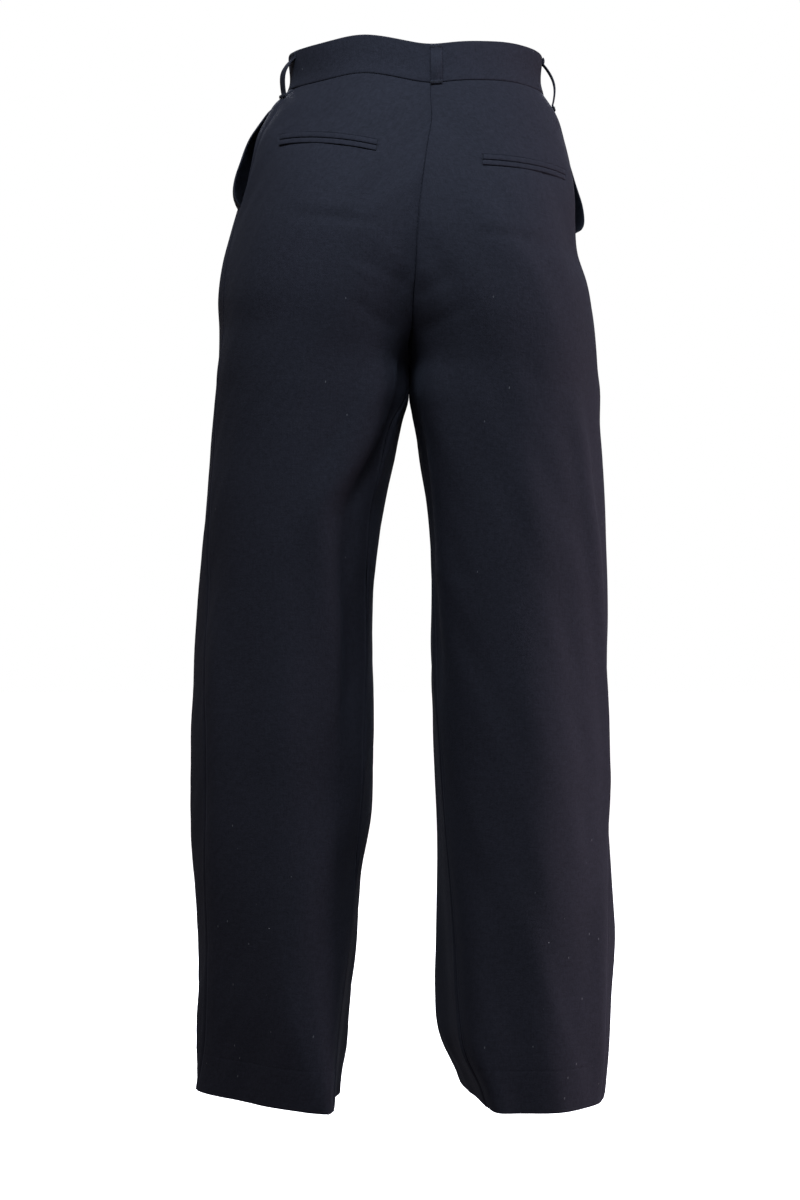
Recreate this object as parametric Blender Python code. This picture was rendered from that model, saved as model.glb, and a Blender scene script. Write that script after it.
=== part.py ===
"""Straight-leg trousers in a plain dark suiting, in the hollow shape they keep when worn with both
side pockets in use.

Metres, +Z up. The back of the garment faces +Y, its front -Y, and the wearer's left is +X. The origin
is the middle of the waist, halfway up the waistband, where the wearer holds the garment.

Each leg is one tube of cloth, drawn as a stack of sections from the waist to the hem. A section is an
oval made of four quarter curves that meet at its inner, back, outer and front edges. Above the crotch
the oval reaches over the middle of the garment and is cut there by the centre back and centre front
seams; below it the oval closes at the inseam. The back and front panels are the two parts of that tube
on either side of the outseam. Each panel's solid comes in three lengths: hip, thigh and shin.
"""

import math
from collections import namedtuple
from functools import lru_cache

import bmesh
import bpy
import numpy as np
from mathutils import Matrix

# ---------------------------------------------------------------- driving dimensions
MM = 0.001
LEFT, RIGHT = 1, -1  # the sign of x on the wearer's left and right
SIDES = {LEFT: "left", RIGHT: "right"}
CLOTH = 0.0014  # thickness of the suiting
SEAM_GAP = 0.0003  # between two pieces that are sewn to each other
QUARTER_STEPS = 60  # points on a quarter of a section
BEND_SHARE = 0.22  # how strongly points gather on a section's bends

WAIST_SEAM = -0.0195  # level where the waistband is sewn on
WAISTBAND_HEIGHT = 0.038
WAISTBAND_THICKNESS = 0.0024
WAISTBAND_PROUD = 0.0005  # how far its outside stands over the panels
TOP = 0.020  # level of the highest section
CROTCH = -0.290
KNEE = -0.640
HEM = -1.0175

# The oval of one leg at a level, in millimetres. Sideways distances run from the middle seams' plane
# towards that leg's side, depths run to the back. outseam and inseam say how far the seam lies in from
# the oval's outer or inner edge, on its back half. The back quarters are as square as inner_square and
# outer_square say (2 is an ellipse), and twist is how far depth carries the inner edge sideways.
Section = namedtuple(
    "Section",
    "level outer outer_y inner inner_y back back_x front front_x outseam inseam"
    " inner_square outer_square twist",
)
# level  outer out_y inner inn_y back  b_x front  f_x outs. ins. in_sq out_sq twist
LEFT_SECTIONS = [
    (20, 127, 0, -127, 0, 86, 0, -92, 0, 4, 0, 2.0, 2.0, 0.0),
    (-19.5, 130, 0, -130, 0, 89, 0, -95, 0, 4, 0, 2.0, 2.0, 0.0),
    (-35, 141, 0, -137, 0, 94, 4, -98, 3, 4, 0, 2.0, 2.0, 0.0),
    (-55, 150, 0, -140, 0, 102, 12, -101, 9, 4, 0, 2.1, 2.1, 0.0),
    (-80, 156, 0, -139, 0, 112, 25, -104, 20, 3, 0, 2.1, 2.1, 0.0),
    (-110, 159, 0, -129, 0, 123, 40, -107, 34, 2, 0, 2.2, 2.2, 0.0),
    (-140, 163, 0, -115, 0, 131, 53, -109, 46, 1, 0, 2.2, 2.2, 0.0),
    (-170, 169, 0, -96, 0, 135, 62, -110, 56, 1, 0, 2.2, 2.2, 0.0),
    (-200, 177.5, 0, -74, -2, 134, 70, -110, 64, 2, 0, 2.3, 2.2, 0.0),
    (-235, 184, 0, -42, -4, 130, 79, -110, 74, 3, 0, 2.3, 2.2, 0.0),
    (-265, 187, 0, -15, -6, 123, 87, -109, 82, 3, 0, 2.3, 2.2, 0.0),
    (-290, 190, 0, 0.6, -8, 117, 94, -108, 89, 3, 0, 2.3, 2.2, 0.0),
    (-308.5, 192.5, 0, 0.6, -8, 114, 97, -107, 93, 4, 1, 2.2, 2.1, 0.0),
    (-340, 194, -4, 5.7, -8, 110, 101, -105, 97, 4, 3, 2.1, 2.0, 0.0),
    (-380, 197, -8, 13.2, -8, 106, 106, -102, 102, 5, 6, 2.0, 1.9, 0.0),
    (-430, 200, -12, 22, -8, 102, 111, -98, 108, 7, 9, 2.0, 1.9, 0.0),
    (-500, 203, -14, 28, -8, 98, 115, -94, 113, 9, 7, 2.0, 1.8, 0.0),
    (-580, 207.5, -14, 29, -8, 95, 117, -92, 117, 14, 6, 2.0, 1.8, 0.0),
    (-660, 211, -12, 27, -8, 94, 118, -90, 121, 20, 10, 2.1, 1.8, 0.0),
    (-740, 211, -8, 31.5, -8, 95, 119, -88, 126, 19, 8, 2.2, 1.7, 0.01),
    (-800, 208, -4, 41, -10, 98, 119, -87, 131, 16, 4, 2.5, 1.6, 0.02),
    (-860, 205, 0, 48, -12, 103, 114, -85, 137, 15, 3, 3.0, 1.5, 0.03),
    (-920, 205, 2, 56, -14, 109, 104, -83, 142, 13, 2, 4.0, 1.4, 0.03),
    (-970, 205, 4, 62, -16, 115, 90, -80, 146, 9, 1.5, 5.0, 1.3, 0.02),
    (-1017.5, 205, 4, 66, -18, 121, 75, -78, 148, 1, 1, 8.0, 1.3, 0.01),
]
RIGHT_SECTIONS = [
    (20, 124, 0, -127, 0, 86, 0, -92, 0, 2, 0, 2.0, 2.0, 0.0),
    (-19.5, 126.5, 0, -130, 0, 89, 0, -95, 0, 2, 0, 2.0, 2.0, 0.0),
    (-35, 140, 0, -137, 0, 94, 4, -98, 3, 2, 0, 2.0, 2.0, 0.0),
    (-55, 146.5, 0, -140, 0, 102, 12, -101, 9, 2, 0, 2.1, 2.1, 0.0),
    (-80, 158, 0, -139, 0, 112, 25, -104, 20, 1, 0, 2.1, 2.1, 0.0),
    (-110, 165, 0, -129, 0, 123, 40, -107, 34, 1, 0, 2.2, 2.2, 0.0),
    (-140, 168, 0, -115, 0, 131, 53, -109, 46, 1, 0, 2.2, 2.2, 0.0),
    (-170, 172.5, 0, -96, 0, 135, 62, -110, 56, 1, 0, 2.2, 2.2, 0.0),
    (-200, 182, 0, -74, -2, 134, 70, -110, 64, 1, 0, 2.3, 2.2, 0.0),
    (-235, 187.5, 0, -42, -4, 130, 79, -110, 74, 1, 0, 2.3, 2.2, 0.0),
    (-265, 188, 0, -15, -6, 123, 87, -109, 82, 1, 0, 2.3, 2.2, 0.0),
    (-290, 188.5, 0, 0.6, -8, 117, 94, -108, 89, 1, 0, 2.3, 2.2, 0.0),
    (-308.5, 190.5, 0, 0.6, -8, 114, 97, -107, 93, 1, 0, 2.2, 2.1, 0.0),
    (-340, 192, -2, 6.5, -8, 110, 101, -105, 97, 1, 0, 2.1, 2.1, 0.0),
    (-380, 195, -4, 13.5, -8, 106, 106, -102, 102, 1, 0, 2.0, 2.0, 0.0),
    (-430, 199.5, -6, 22.3, -8, 102, 109, -98, 106, 1, 0, 2.0, 2.0, 0.0),
    (-500, 204, -8, 28, -8, 98, 112, -94, 109, 1, 0, 2.0, 2.0, 0.0),
    (-580, 205, -10, 30.3, -8, 95, 115, -92, 111, 1, 1, 2.1, 2.0, 0.01),
    (-660, 206.5, -10, 35, -8, 95, 118, -90, 112, 1, 2, 2.3, 2.0, 0.02),
    (-740, 207, -8, 40, -8, 97, 118, -88, 111, 2, 2, 2.6, 2.0, 0.05),
    (-800, 210, -4, 42, -10, 100, 112, -87, 110, 5, 2, 3.2, 2.0, 0.09),
    (-860, 212, 0, 42, -12, 105, 108, -85, 110, 10, 2, 4.0, 2.0, 0.13),
    (-920, 209, 2, 41.5, -14, 111, 108, -83, 112, 12, 1.5, 5.0, 2.1, 0.16),
    (-970, 206.5, 2, 45, -16, 116, 108, -80, 116, 12, 1.5, 6.0, 2.2, 0.18),
    (-1000, 203.5, 1, 58, -17, 119, 108, -79, 119, 12, 1.2, 7.0, 2.3, 0.18),
    (-1017.5, 202, 0, 63, -18, 121, 108, -78, 120, 13, 1, 8.0, 2.3, 0.18),
]
FRONT_SQUARE = 2.2

# The middle of the garment: it leans with the hips, and the hips are turned a little to the left leg.
Middle = namedtuple("Middle", "level x turn tilt")
# level (mm), where the middle seams' plane crosses depth 0 (mm), its turn (sideways per depth), and
# the tilt of the hips (rise per distance sideways)
MIDDLE = [
    (20, 0, 0.15, 0.020),
    (-19.5, 0, 0.15, 0.025),
    (-35, 1, 0.15, 0.050),
    (-55, 0, 0.14, 0.090),
    (-80, 4.5, 0.135, 0.115),
    (-110, 9.5, 0.13, 0.105),
    (-140, 13.5, 0.13, 0.085),
    (-170, 16, 0.13, 0.078),
    (-200, 15.5, 0.12, 0.072),
    (-235, 13.5, 0.09, 0.067),
    (-265, 9.5, 0.06, 0.060),
    (-290, 8, 0.03, 0.050),
    (-308.5, 7.5, 0.01, 0.044),
    (-340, 8.5, 0.00, 0.035),
    (-380, 9.5, 0.00, 0.026),
    (-430, 11.5, 0.00, 0.016),
    (-500, 13.5, 0.00, 0.000),
    (-1017.5, 13.5, 0.00, 0.000),
]
WAIST_SLOPE = 0.04  # the waist sits this much higher, per metre, towards the back
WAIST_FADE = -0.080, -0.035  # levels where the waist's own slope and waves have faded and are whole
# The waist's edge dips at the centre back and rises over the seat on either side, in millimetres
Wave = namedtuple("Wave", "x width rise")
WAIST_WAVES = [Wave(-12, 28, -4.8), Wave(56, 32, 5.5), Wave(-95, 30, 2.5)]
HEM_RISE = {LEFT: 0.045, RIGHT: 0.06}  # the hem rises this much per metre towards the front
HEM_RISE_START = -0.80  # level where that rise begins
HEM_BACK = 0.120  # depth of the lowest point of the hem

# Soft folds, ridges (+) and troughs (-). round_ is 0 at the inseam or centre back, 1 at the outseam
# and 2 at the inseam or centre front, at the fold's top and bottom ends.
Fold = namedtuple("Fold", "side top bottom round_top round_bottom width height")
FOLDS = [
    Fold(LEFT, -0.25, -0.56, 0.34, 0.22, 0.022, 0.0045),
    Fold(LEFT, -0.29, -0.52, 0.14, 0.06, 0.018, -0.0050),
    Fold(LEFT, -0.50, -0.98, 0.90, 0.94, 0.020, 0.0035),
    Fold(LEFT, -0.62, -0.99, 0.62, 0.60, 0.030, -0.0035),
    Fold(LEFT, -0.30, -0.80, 1.22, 1.30, 0.026, 0.0060),
    Fold(LEFT, -0.30, -0.97, 1.48, 1.55, 0.030, -0.0060),
    Fold(LEFT, -0.55, -1.00, 1.74, 1.72, 0.026, 0.0060),
    Fold(RIGHT, -0.25, -0.50, 0.30, 0.24, 0.022, 0.0040),
    Fold(RIGHT, -0.29, -0.56, 0.12, 0.06, 0.018, -0.0045),
    Fold(RIGHT, -0.29, -0.70, 0.74, 0.96, 0.016, 0.0050),
    Fold(RIGHT, -0.45, -0.85, 0.66, 0.82, 0.024, -0.0035),
    Fold(RIGHT, -0.76, -1.00, 0.93, 0.96, 0.014, 0.0035),
    Fold(RIGHT, -0.72, -1.00, 0.30, 0.34, 0.032, -0.0040),
    Fold(RIGHT, -0.30, -0.85, 1.30, 1.22, 0.028, 0.0060),
    Fold(RIGHT, -0.32, -0.98, 1.56, 1.50, 0.030, -0.0060),
    Fold(RIGHT, -0.52, -1.00, 1.80, 1.78, 0.024, 0.0060),
]
FOLD_END = 0.09  # length over which a fold fades at each end

# Side pocket: a slanted mouth from the waistband to the outseam, held open as by a hand
MOUTH_TOP_AHEAD = 0.045  # how far ahead of the outseam the mouth starts at the waistband
MOUTH_END = -0.146  # level where it meets the outseam
MOUTH_GAPE = 0.0115  # how far the front panel stands off there
GAPE_PEAK = {LEFT: 0.42, RIGHT: 0.33}  # the less, the nearer to the mouth's lower end it gapes most
GAPE_AHEAD = 0.100  # how far ahead of the outseam the front panel lies flat again
FACING_AHEAD = 0.045  # how far the hip facing reaches ahead of the mouth
FACING_END = -0.215  # level of its bottom
FACING_DIP = CLOTH + 0.0014  # how far it lies under the front panel
FACING_DIP_LENGTH = 0.005

# Double-welt back pocket
WELT_LEVEL = {LEFT: -0.0905, RIGHT: -0.0925}  # of the slot between its lips
WELT_START = {LEFT: 0.048, RIGHT: 0.055}  # from the centre back seam, along the cloth
WELT_LENGTH = 0.104
WELT_HEIGHT, WELT_THICKNESS = 0.0051, 0.0011
WELT_SLOT = 0.0008
WELT_RISE = 0.0015  # the outer end sits this much higher

# Belt loops
LOOP_WIDTH, LOOP_THICKNESS = 0.011, 0.0013
LOOP_LAID = 0.006  # length of each end that lies on the cloth
LOOP_TOP_MARGIN = 0.0015  # below the waistband's top edge

# Fly: its facing shows as a flat J-shaped layer, laid over the centre front seam
FLY_WIDTH = 0.036  # on the wearer's right of the centre front
FLY_LAP = 0.006  # on the wearer's left
FLY_END = -0.180
FLY_CURVE = 0.045  # length of the J's rounded end
FLY_THICKNESS = 0.0009
ZIP_HALF_WIDTH, ZIP_THICKNESS, ZIP_END = 0.014, 0.0010, -0.172
ZIP_BEHIND = 0.0009  # between the zip's tape and the panels

BAND_UNDERLAP, BAND_OVERLAP = 0.030, 0.014  # the band's left and right ends past the centre front
BAND_RAMP = 0.050  # the right end climbs over the left end within this length

BUTTON_RADIUS, BUTTON_THICKNESS = 0.0085, 0.0028
BUTTON_HOLE_RADIUS, BUTTON_HOLE_RING = 0.0009, 0.0021

SUITING = ("suiting", (0.014, 0.015, 0.020), 0.85, 0.0)
ZIP_CLOTH = ("zip_tape", (0.012, 0.012, 0.014), 0.7, 0.0)
HORN = ("button_resin", (0.012, 0.012, 0.013), 0.35, 0.0)


# ---------------------------------------------------------------- curves and sections
def through(levels, values, level):
    """A smooth curve through the table's values, read at a level."""
    x, y = np.array(levels)[::-1], np.array(values)[::-1]
    slopes = np.gradient(y, x)
    i = int(np.clip(np.searchsorted(x, level) - 1, 0, len(x) - 2))
    span = x[i + 1] - x[i]
    t = min(max((level - x[i]) / span, 0.0), 1.0)
    rise = (1 + 2 * t) * (1 - t) ** 2 * y[i] + t * t * (3 - 2 * t) * y[i + 1]
    return rise + span * (t * (1 - t) ** 2 * slopes[i] - t * t * (1 - t) * slopes[i + 1])


def ease(t):
    """0 before 0, 1 after 1, and a smooth step between."""
    t = np.clip(t, 0.0, 1.0)
    return t * t * (3 - 2 * t)


def read_table(kind, rows, level, plain):
    """The row at a level. Its columns are in millimetres, but for the last ones, which are plain."""
    columns = list(zip(*rows))
    read = [through(columns[0], column, level / MM) for column in columns[1:]]
    split = len(read) - plain
    return kind(level, *[value * MM for value in read[:split]], *read[split:])


@lru_cache(maxsize=None)
def section(side, level):
    return read_table(Section, LEFT_SECTIONS if side == LEFT else RIGHT_SECTIONS, level, plain=3)


@lru_cache(maxsize=None)
def middle(level):
    return read_table(Middle, MIDDLE, level, plain=2)


def quarter(start, end, square, flat_start):
    """A quarter curve from start to end, each (sideways, depth). With flat_start it leaves start along
    the depth and arrives sideways, without it the other way round."""
    angle = np.linspace(0.0, math.pi / 2, QUARTER_STEPS)[:-1]
    rising = np.sin(angle) ** (2 / square)
    falling = 1 - np.cos(angle) ** (2 / square)
    shares = (falling, rising) if flat_start else (rising, falling)
    return np.stack([a + (b - a) * share for a, b, share in zip(start, end, shares)], axis=1)


def oval(side, level):
    """The closed section, from its inner edge by its back, outer edge and front."""
    s = section(side, level)
    inner, back = (s.inner, s.inner_y), (s.back_x, s.back)
    outer, front = (s.outer, s.outer_y), (s.front_x, s.front)
    quarters = [
        quarter(inner, back, s.inner_square, True),
        quarter(back, outer, s.outer_square, False),
        quarter(outer, front, FRONT_SQUARE, True),
        quarter(front, inner, FRONT_SQUARE, False),
    ]
    return np.concatenate(quarters + [quarters[0][:1]])


def lengths(points):
    steps = np.linalg.norm(np.diff(points, axis=0), axis=1)
    return np.concatenate([[0.0], np.cumsum(steps)])


def crossing(sideways, arc, value):
    """Where the sideways distance passes a value, on a stretch where it only grows or only falls."""
    if sideways[0] > sideways[-1]:
        sideways, arc = sideways[::-1], arc[::-1]
    return float(np.interp(value, sideways, arc))


Ring = namedtuple("Ring", "points arc start outseam end turning")


@lru_cache(maxsize=None)
def ring(side, level):
    """A section with its folds and the places of its seams, measured along the cloth."""
    s = section(side, level)
    points = oval(side, level)
    arc = lengths(points)
    at_back, at_outer, at_front = (k * (QUARTER_STEPS - 1) for k in (1, 2, 3))
    x = points[:, 0]
    outseam = crossing(
        x[at_back : at_outer + 1], arc[at_back : at_outer + 1], s.outer - s.outseam
    )
    if s.inner < 0:
        start = crossing(x[: at_outer + 1], arc[: at_outer + 1], 0.0)
        end = crossing(x[at_outer:], arc[at_outer:], 0.0)
    else:
        start = crossing(x[: at_back + 1], arc[: at_back + 1], s.inner + s.inseam)
        end = start + arc[-1]
    folded = points + outward_2d(points) * fold_heights(side, level, arc, start, outseam, end)[:, None]
    folded[:, 0] += s.twist * folded[:, 1] * (s.outer - folded[:, 0]) / (s.outer - s.inner)
    return Ring(folded, arc, start, outseam, end, turning(points, arc))


def turning(points, arc):
    """Grows evenly along the section, and faster where it bends, so that equal steps of it put more
    points on the bends."""
    ahead = np.diff(points, axis=0)
    angle = np.unwrap(np.arctan2(ahead[:, 1], ahead[:, 0]))
    bend = np.abs(np.diff(angle, append=angle[-1])) / np.diff(arc)
    reach = max(int(0.012 / np.mean(np.diff(arc))), 1)
    smooth = np.convolve(np.concatenate([bend] * 3), np.ones(2 * reach + 1) / (2 * reach + 1), "same")
    bend = smooth[len(bend) : 2 * len(bend)]
    return np.concatenate([[0.0], np.cumsum((1 + BEND_SHARE * np.sqrt(bend)) * np.diff(arc))])


def spread(side, level, first, last, count):
    """Places from first to last along the section, closer together where it bends."""
    r = ring(side, level)
    around = r.arc[-1]
    total = r.turning[-1]
    ends = [np.floor(a / around) * total + np.interp(a % around, r.arc, r.turning) for a in (first, last)]
    marks = np.linspace(*ends, count)
    places = np.floor(marks / total) * around + np.interp(marks % total, r.turning, r.arc)
    places[0], places[-1] = first, last
    return places


def outward_2d(points):
    """Unit normals of a closed line that runs inner, back, outer, front."""
    ahead = np.roll(points[:-1], -1, axis=0) - np.roll(points[:-1], 1, axis=0)
    ahead = np.concatenate([ahead, ahead[:1]])
    normals = np.stack([-ahead[:, 1], ahead[:, 0]], axis=1)
    return normals / np.linalg.norm(normals, axis=1)[:, None]


def fold_heights(side, level, arc, start, outseam, end):
    total = np.zeros(len(arc))
    around = arc[-1]
    for fold in FOLDS:
        if fold.side != side or not fold.bottom - FOLD_END < level < fold.top:
            continue
        along = (fold.top - level) / (fold.top - fold.bottom)
        place = fold.round_top + (fold.round_bottom - fold.round_top) * min(along, 1.0)
        centre = np.interp(place, [0, 1, 2], [start, outseam, end])
        away = np.abs(arc - centre % around)
        away = np.minimum(away, around - away)
        fade = ease((fold.top - level) / FOLD_END)
        if fold.bottom > HEM + FOLD_END:
            fade *= ease((level - fold.bottom) / FOLD_END + 1)
        total += fold.height * fade * np.exp(-((away / fold.width) ** 2))
    return total


def posed(side, level, sideways, depth):
    """A section's point in the garment's frame, with the lean, turn and tilt of the hips, the slope
    and waves of the waist and the rise of the hem over the foot."""
    m = middle(level)
    x = m.x - m.turn * depth + side * sideways
    waves = sum(w.rise * MM * math.exp(-(((x - w.x * MM) / (w.width * MM)) ** 2)) for w in WAIST_WAVES)
    waist = WAIST_SLOPE * depth + waves * ease(depth / 0.04)
    waist *= ease((level - WAIST_FADE[0]) / (WAIST_FADE[1] - WAIST_FADE[0]))
    rise = HEM_RISE[side] * ease((HEM_RISE_START - level) / (HEM_RISE_START - HEM))
    z = level + m.tilt * x + waist + rise * (HEM_BACK - depth)
    return np.array([x, depth, z])


def gape(side, level, ahead):
    """How far the front panel stands off, ahead of the outseam, where a hand holds the pocket open."""
    share = (level - MOUTH_END) / (WAIST_SEAM - MOUTH_END)
    if not 0.0 < share < 1.0:
        return 0.0
    mouth = mouth_ahead(level)
    fall = 1 - ease((ahead - mouth) / (GAPE_AHEAD - mouth))
    return MOUTH_GAPE * math.sin(math.pi * share ** GAPE_PEAK[side]) ** 1.6 * fall


def mouth_ahead(level):
    """How far ahead of the outseam the pocket's mouth lies at a level."""
    share = (level - MOUTH_END) / (WAIST_SEAM - MOUTH_END)
    return MOUTH_TOP_AHEAD * min(max(share, 0.0), 1.0)


def spot(side, level, arc, lift=0.0):
    """The cloth's outside at a place along a section, or a point lifted off it by lift."""
    r = ring(side, level)
    at = arc % r.arc[-1]
    point = posed(side, level, np.interp(at, r.arc, r.points[:, 0]), np.interp(at, r.arc, r.points[:, 1]))
    return point if lift == 0.0 else point + lift * outward(side, level, arc)


PROBE_ALONG, PROBE_DOWN = 0.002, 0.003  # steps for reading the slope of the cloth


def outward(side, level, arc):
    """The unit normal of the cloth's outside."""
    from_outseam = arc - ring(side, level).outseam
    along = spot(side, level, arc + PROBE_ALONG) - spot(side, level, arc - PROBE_ALONG)
    upper, lower = min(level + PROBE_DOWN, TOP), max(level - PROBE_DOWN, HEM)
    up = spot(side, upper, ring(side, upper).outseam + from_outseam) - spot(
        side, lower, ring(side, lower).outseam + from_outseam
    )
    normal = side * np.cross(up, along)
    return normal / np.linalg.norm(normal)


# ---------------------------------------------------------------- solids
def material(name, colour, roughness, metallic):
    made = bpy.data.materials.get(name)
    if made is None:
        made = bpy.data.materials.new(name)
        made.use_nodes = True
        shader = made.node_tree.nodes["Principled BSDF"]
        shader.inputs["Base Color"].default_value = (*colour, 1.0)
        shader.inputs["Roughness"].default_value = roughness
        shader.inputs["Metallic"].default_value = metallic
    return made


def add_object(name, mesh, finish):
    mesh.materials.append(material(*finish))
    mesh.shade_smooth()
    mesh.set_sharp_from_angle(angle=math.radians(40))
    made = bpy.data.objects.new(name, mesh)
    bpy.context.scene.collection.objects.link(made)
    return made


def wall(name, outside, inside, finish):
    """A closed wall between two grids of points, each rows by columns by 3."""
    rows, columns = outside.shape[:2]
    bm = bmesh.new()
    out = [[bm.verts.new(p) for p in row] for row in outside]
    ins = [[bm.verts.new(p) for p in row] for row in inside]
    for r in range(rows - 1):
        for c in range(columns - 1):
            bm.faces.new((out[r][c], out[r + 1][c], out[r + 1][c + 1], out[r][c + 1]))
            bm.faces.new((ins[r][c], ins[r][c + 1], ins[r + 1][c + 1], ins[r + 1][c]))
    border = [(0, c) for c in range(columns)] + [(r, columns - 1) for r in range(1, rows)]
    border += [(rows - 1, c) for c in range(columns - 2, -1, -1)] + [(r, 0) for r in range(rows - 2, 0, -1)]
    for (r, c), (r2, c2) in zip(border, border[1:] + border[:1]):
        bm.faces.new((out[r][c], out[r2][c2], ins[r2][c2], ins[r][c]))
    bmesh.ops.recalc_face_normals(bm, faces=bm.faces)
    mesh = bpy.data.meshes.new(name)
    bm.to_mesh(mesh)
    bm.free()
    return add_object(name, mesh, finish)


def between(low, high, count):
    return np.linspace(low, high, count)


def stretch_levels(marks, steps):
    """Levels from mark to mark, with the steps given for each stretch."""
    levels = [marks[0]]
    for top, bottom, count in zip(marks, marks[1:], steps):
        levels += list(between(top, bottom, count + 1)[1:])
    return levels


PANEL_LEVELS = {
    "hip": stretch_levels(
        [WAIST_SEAM, -0.036, -0.13, MOUTH_END, -0.235, -0.27, CROTCH + SEAM_GAP / 2], [3, 4, 2, 3, 3, 2]
    ),
    "thigh": stretch_levels([CROTCH - SEAM_GAP / 2, -0.345, KNEE + SEAM_GAP / 2], [4, 7]),
    "shin": stretch_levels([KNEE - SEAM_GAP / 2, -0.90, HEM], [6, 5]),
}
PANEL_COLUMNS = 17


def kept_off_middle(side, normal, arc_end_is_middle):
    """At the centre seams both walls stand square to the middle plane, so that they never cross."""
    if arc_end_is_middle and side * normal[0] > 0:
        normal = np.array([0.0, normal[1], normal[2]])
        normal /= np.linalg.norm(normal)
    return normal


def panel_walls(side, levels, columns, span, lift):
    """Outside and inside points of a panel. span gives a level's first and last place along the
    section, and lift how far a place stands off the section."""
    outside, inside = [], []
    for level in levels:
        first, last = span(level)
        r = ring(side, level)
        at_middle = (abs(first - r.start) < SEAM_GAP, abs(last - r.end) < SEAM_GAP)
        row_out, row_in = [], []
        for c, arc in enumerate(spread(side, level, first, last, columns)):
            on_edge = (c == 0 and at_middle[0]) or (c == columns - 1 and at_middle[1])
            normal = kept_off_middle(side, outward(side, level, arc), on_edge and level > CROTCH)
            point = spot(side, level, arc) + lift(level, arc) * normal
            row_out.append(point)
            row_in.append(point - CLOTH * normal)
        outside.append(row_out)
        inside.append(row_in)
    return np.array(outside), np.array(inside)


def make_back(side):
    def span(level):
        r = ring(side, level)
        return r.start + SEAM_GAP / 2, r.outseam - SEAM_GAP / 2

    for length, levels in PANEL_LEVELS.items():
        walls = panel_walls(side, levels, PANEL_COLUMNS, span, lambda level, arc: 0.0)
        wall(f"back_{SIDES[side]}_{length}", *walls, SUITING)


def make_front(side):
    def span(level):
        r = ring(side, level)
        return r.outseam + mouth_ahead(level) + SEAM_GAP / 2, r.end - SEAM_GAP / 2

    def lift(level, arc):
        return gape(side, level, arc - ring(side, level).outseam)

    for length, levels in PANEL_LEVELS.items():
        walls = panel_walls(side, levels, PANEL_COLUMNS, span, lift)
        wall(f"front_{SIDES[side]}_{length}", *walls, SUITING)


def make_facing(side):
    """The hip facing fills the mouth, level with the back panel, and runs on under the front panel."""

    def dip(level, arc):
        ahead = arc - ring(side, level).outseam
        return -FACING_DIP * ease((ahead - mouth_ahead(level)) / FACING_DIP_LENGTH + 1.2)

    outside, inside = [], []
    for level in stretch_levels([WAIST_SEAM, -0.036, -0.13, MOUTH_END, FACING_END], [3, 4, 3, 3]):
        mouth = mouth_ahead(level)
        places = [mouth * 0.4, mouth - 0.006, mouth - 0.001, mouth + 0.01, mouth + 0.026]
        places = [SEAM_GAP / 2] + [max(p, 0.001 * (k + 1)) for k, p in enumerate(places)]
        row_out, row_in = [], []
        for ahead in places + [mouth + FACING_AHEAD]:
            arc = ring(side, level).outseam + ahead
            normal = outward(side, level, arc)
            point = spot(side, level, arc) + dip(level, arc) * normal
            row_out.append(point)
            row_in.append(point - CLOTH * normal)
        outside.append(row_out)
        inside.append(row_in)
    wall(f"facing_{SIDES[side]}", np.array(outside), np.array(inside), SUITING)


def laid_strip(name, side, places, thickness, finish, lift=SEAM_GAP):
    """A flat piece laid on a panel: places is a grid of (level, arc), moved out from the cloth."""
    outside = [[spot(side, lv, arc, lift + thickness) for lv, arc in row] for row in places]
    inside = [[spot(side, lv, arc, lift) for lv, arc in row] for row in places]
    wall(name, np.array(outside), np.array(inside), finish)


def make_welts(side):
    columns = 13
    for name, low, high in (
        ("upper", WELT_SLOT / 2, WELT_SLOT / 2 + WELT_HEIGHT),
        ("lower", -WELT_SLOT / 2 - WELT_HEIGHT, -WELT_SLOT / 2),
    ):
        grid = []
        for up in (high, (high + low) / 2, low):
            row = []
            for share in between(0.0, 1.0, columns):
                level = WELT_LEVEL[side] + WELT_RISE * share + up
                arc = ring(side, level).start + WELT_START[side] + WELT_LENGTH * share
                row.append((level, arc))
            grid.append(row)
        laid_strip(f"welt_{name}_{SIDES[side]}", side, grid, WELT_THICKNESS, SUITING)


def band_lift(side, arc, r):
    """The right end of the band climbs over the left end near the centre front."""
    if side == LEFT:
        return WAISTBAND_PROUD
    climb = ease((arc - (r.end - BAND_RAMP - BAND_UNDERLAP)) / BAND_RAMP)
    return WAISTBAND_PROUD + (WAISTBAND_THICKNESS + SEAM_GAP) * climb


def across_front(side, level, past):
    """A place past the centre front seam, read on the other half of the garment."""
    other = -side
    return other, ring(other, level).end - past


def make_waistband():
    """One band, from its left end, which runs on under the right one, round the back to its right end."""
    bottom = WAIST_SEAM + SEAM_GAP
    levels = between(bottom + WAISTBAND_HEIGHT, bottom, 4)
    steps = 26
    outside, inside = [], []
    for level in levels:
        left, right = ring(LEFT, level), ring(RIGHT, level)
        places = [(*across_front(LEFT, level, past), 0.0) for past in between(BAND_UNDERLAP, 0.006, 4)]
        places += [(LEFT, arc, None) for arc in between(left.end, left.start, steps)]
        places += [(RIGHT, arc, None) for arc in between(right.start, right.end, steps)[1:]]
        places += [(*across_front(RIGHT, level, past), 1.0) for past in between(0.005, BAND_OVERLAP, 3)]
        row_out, row_in = [], []
        for side, arc, climb in places:
            r = ring(side, level)
            lift = band_lift(side, arc, r)
            if climb is not None:
                lift = WAISTBAND_PROUD + climb * (WAISTBAND_THICKNESS + SEAM_GAP)
            normal = outward(side, level, arc)
            row_out.append(spot(side, level, arc) + lift * normal)
            row_in.append(spot(side, level, arc) + (lift - WAISTBAND_THICKNESS) * normal)
        outside.append(row_out)
        inside.append(row_in)
    wall("waistband", np.array(outside), np.array(inside), SUITING)


Loop = namedtuple("Loop", "name side from_middle drop stand_off")
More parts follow.
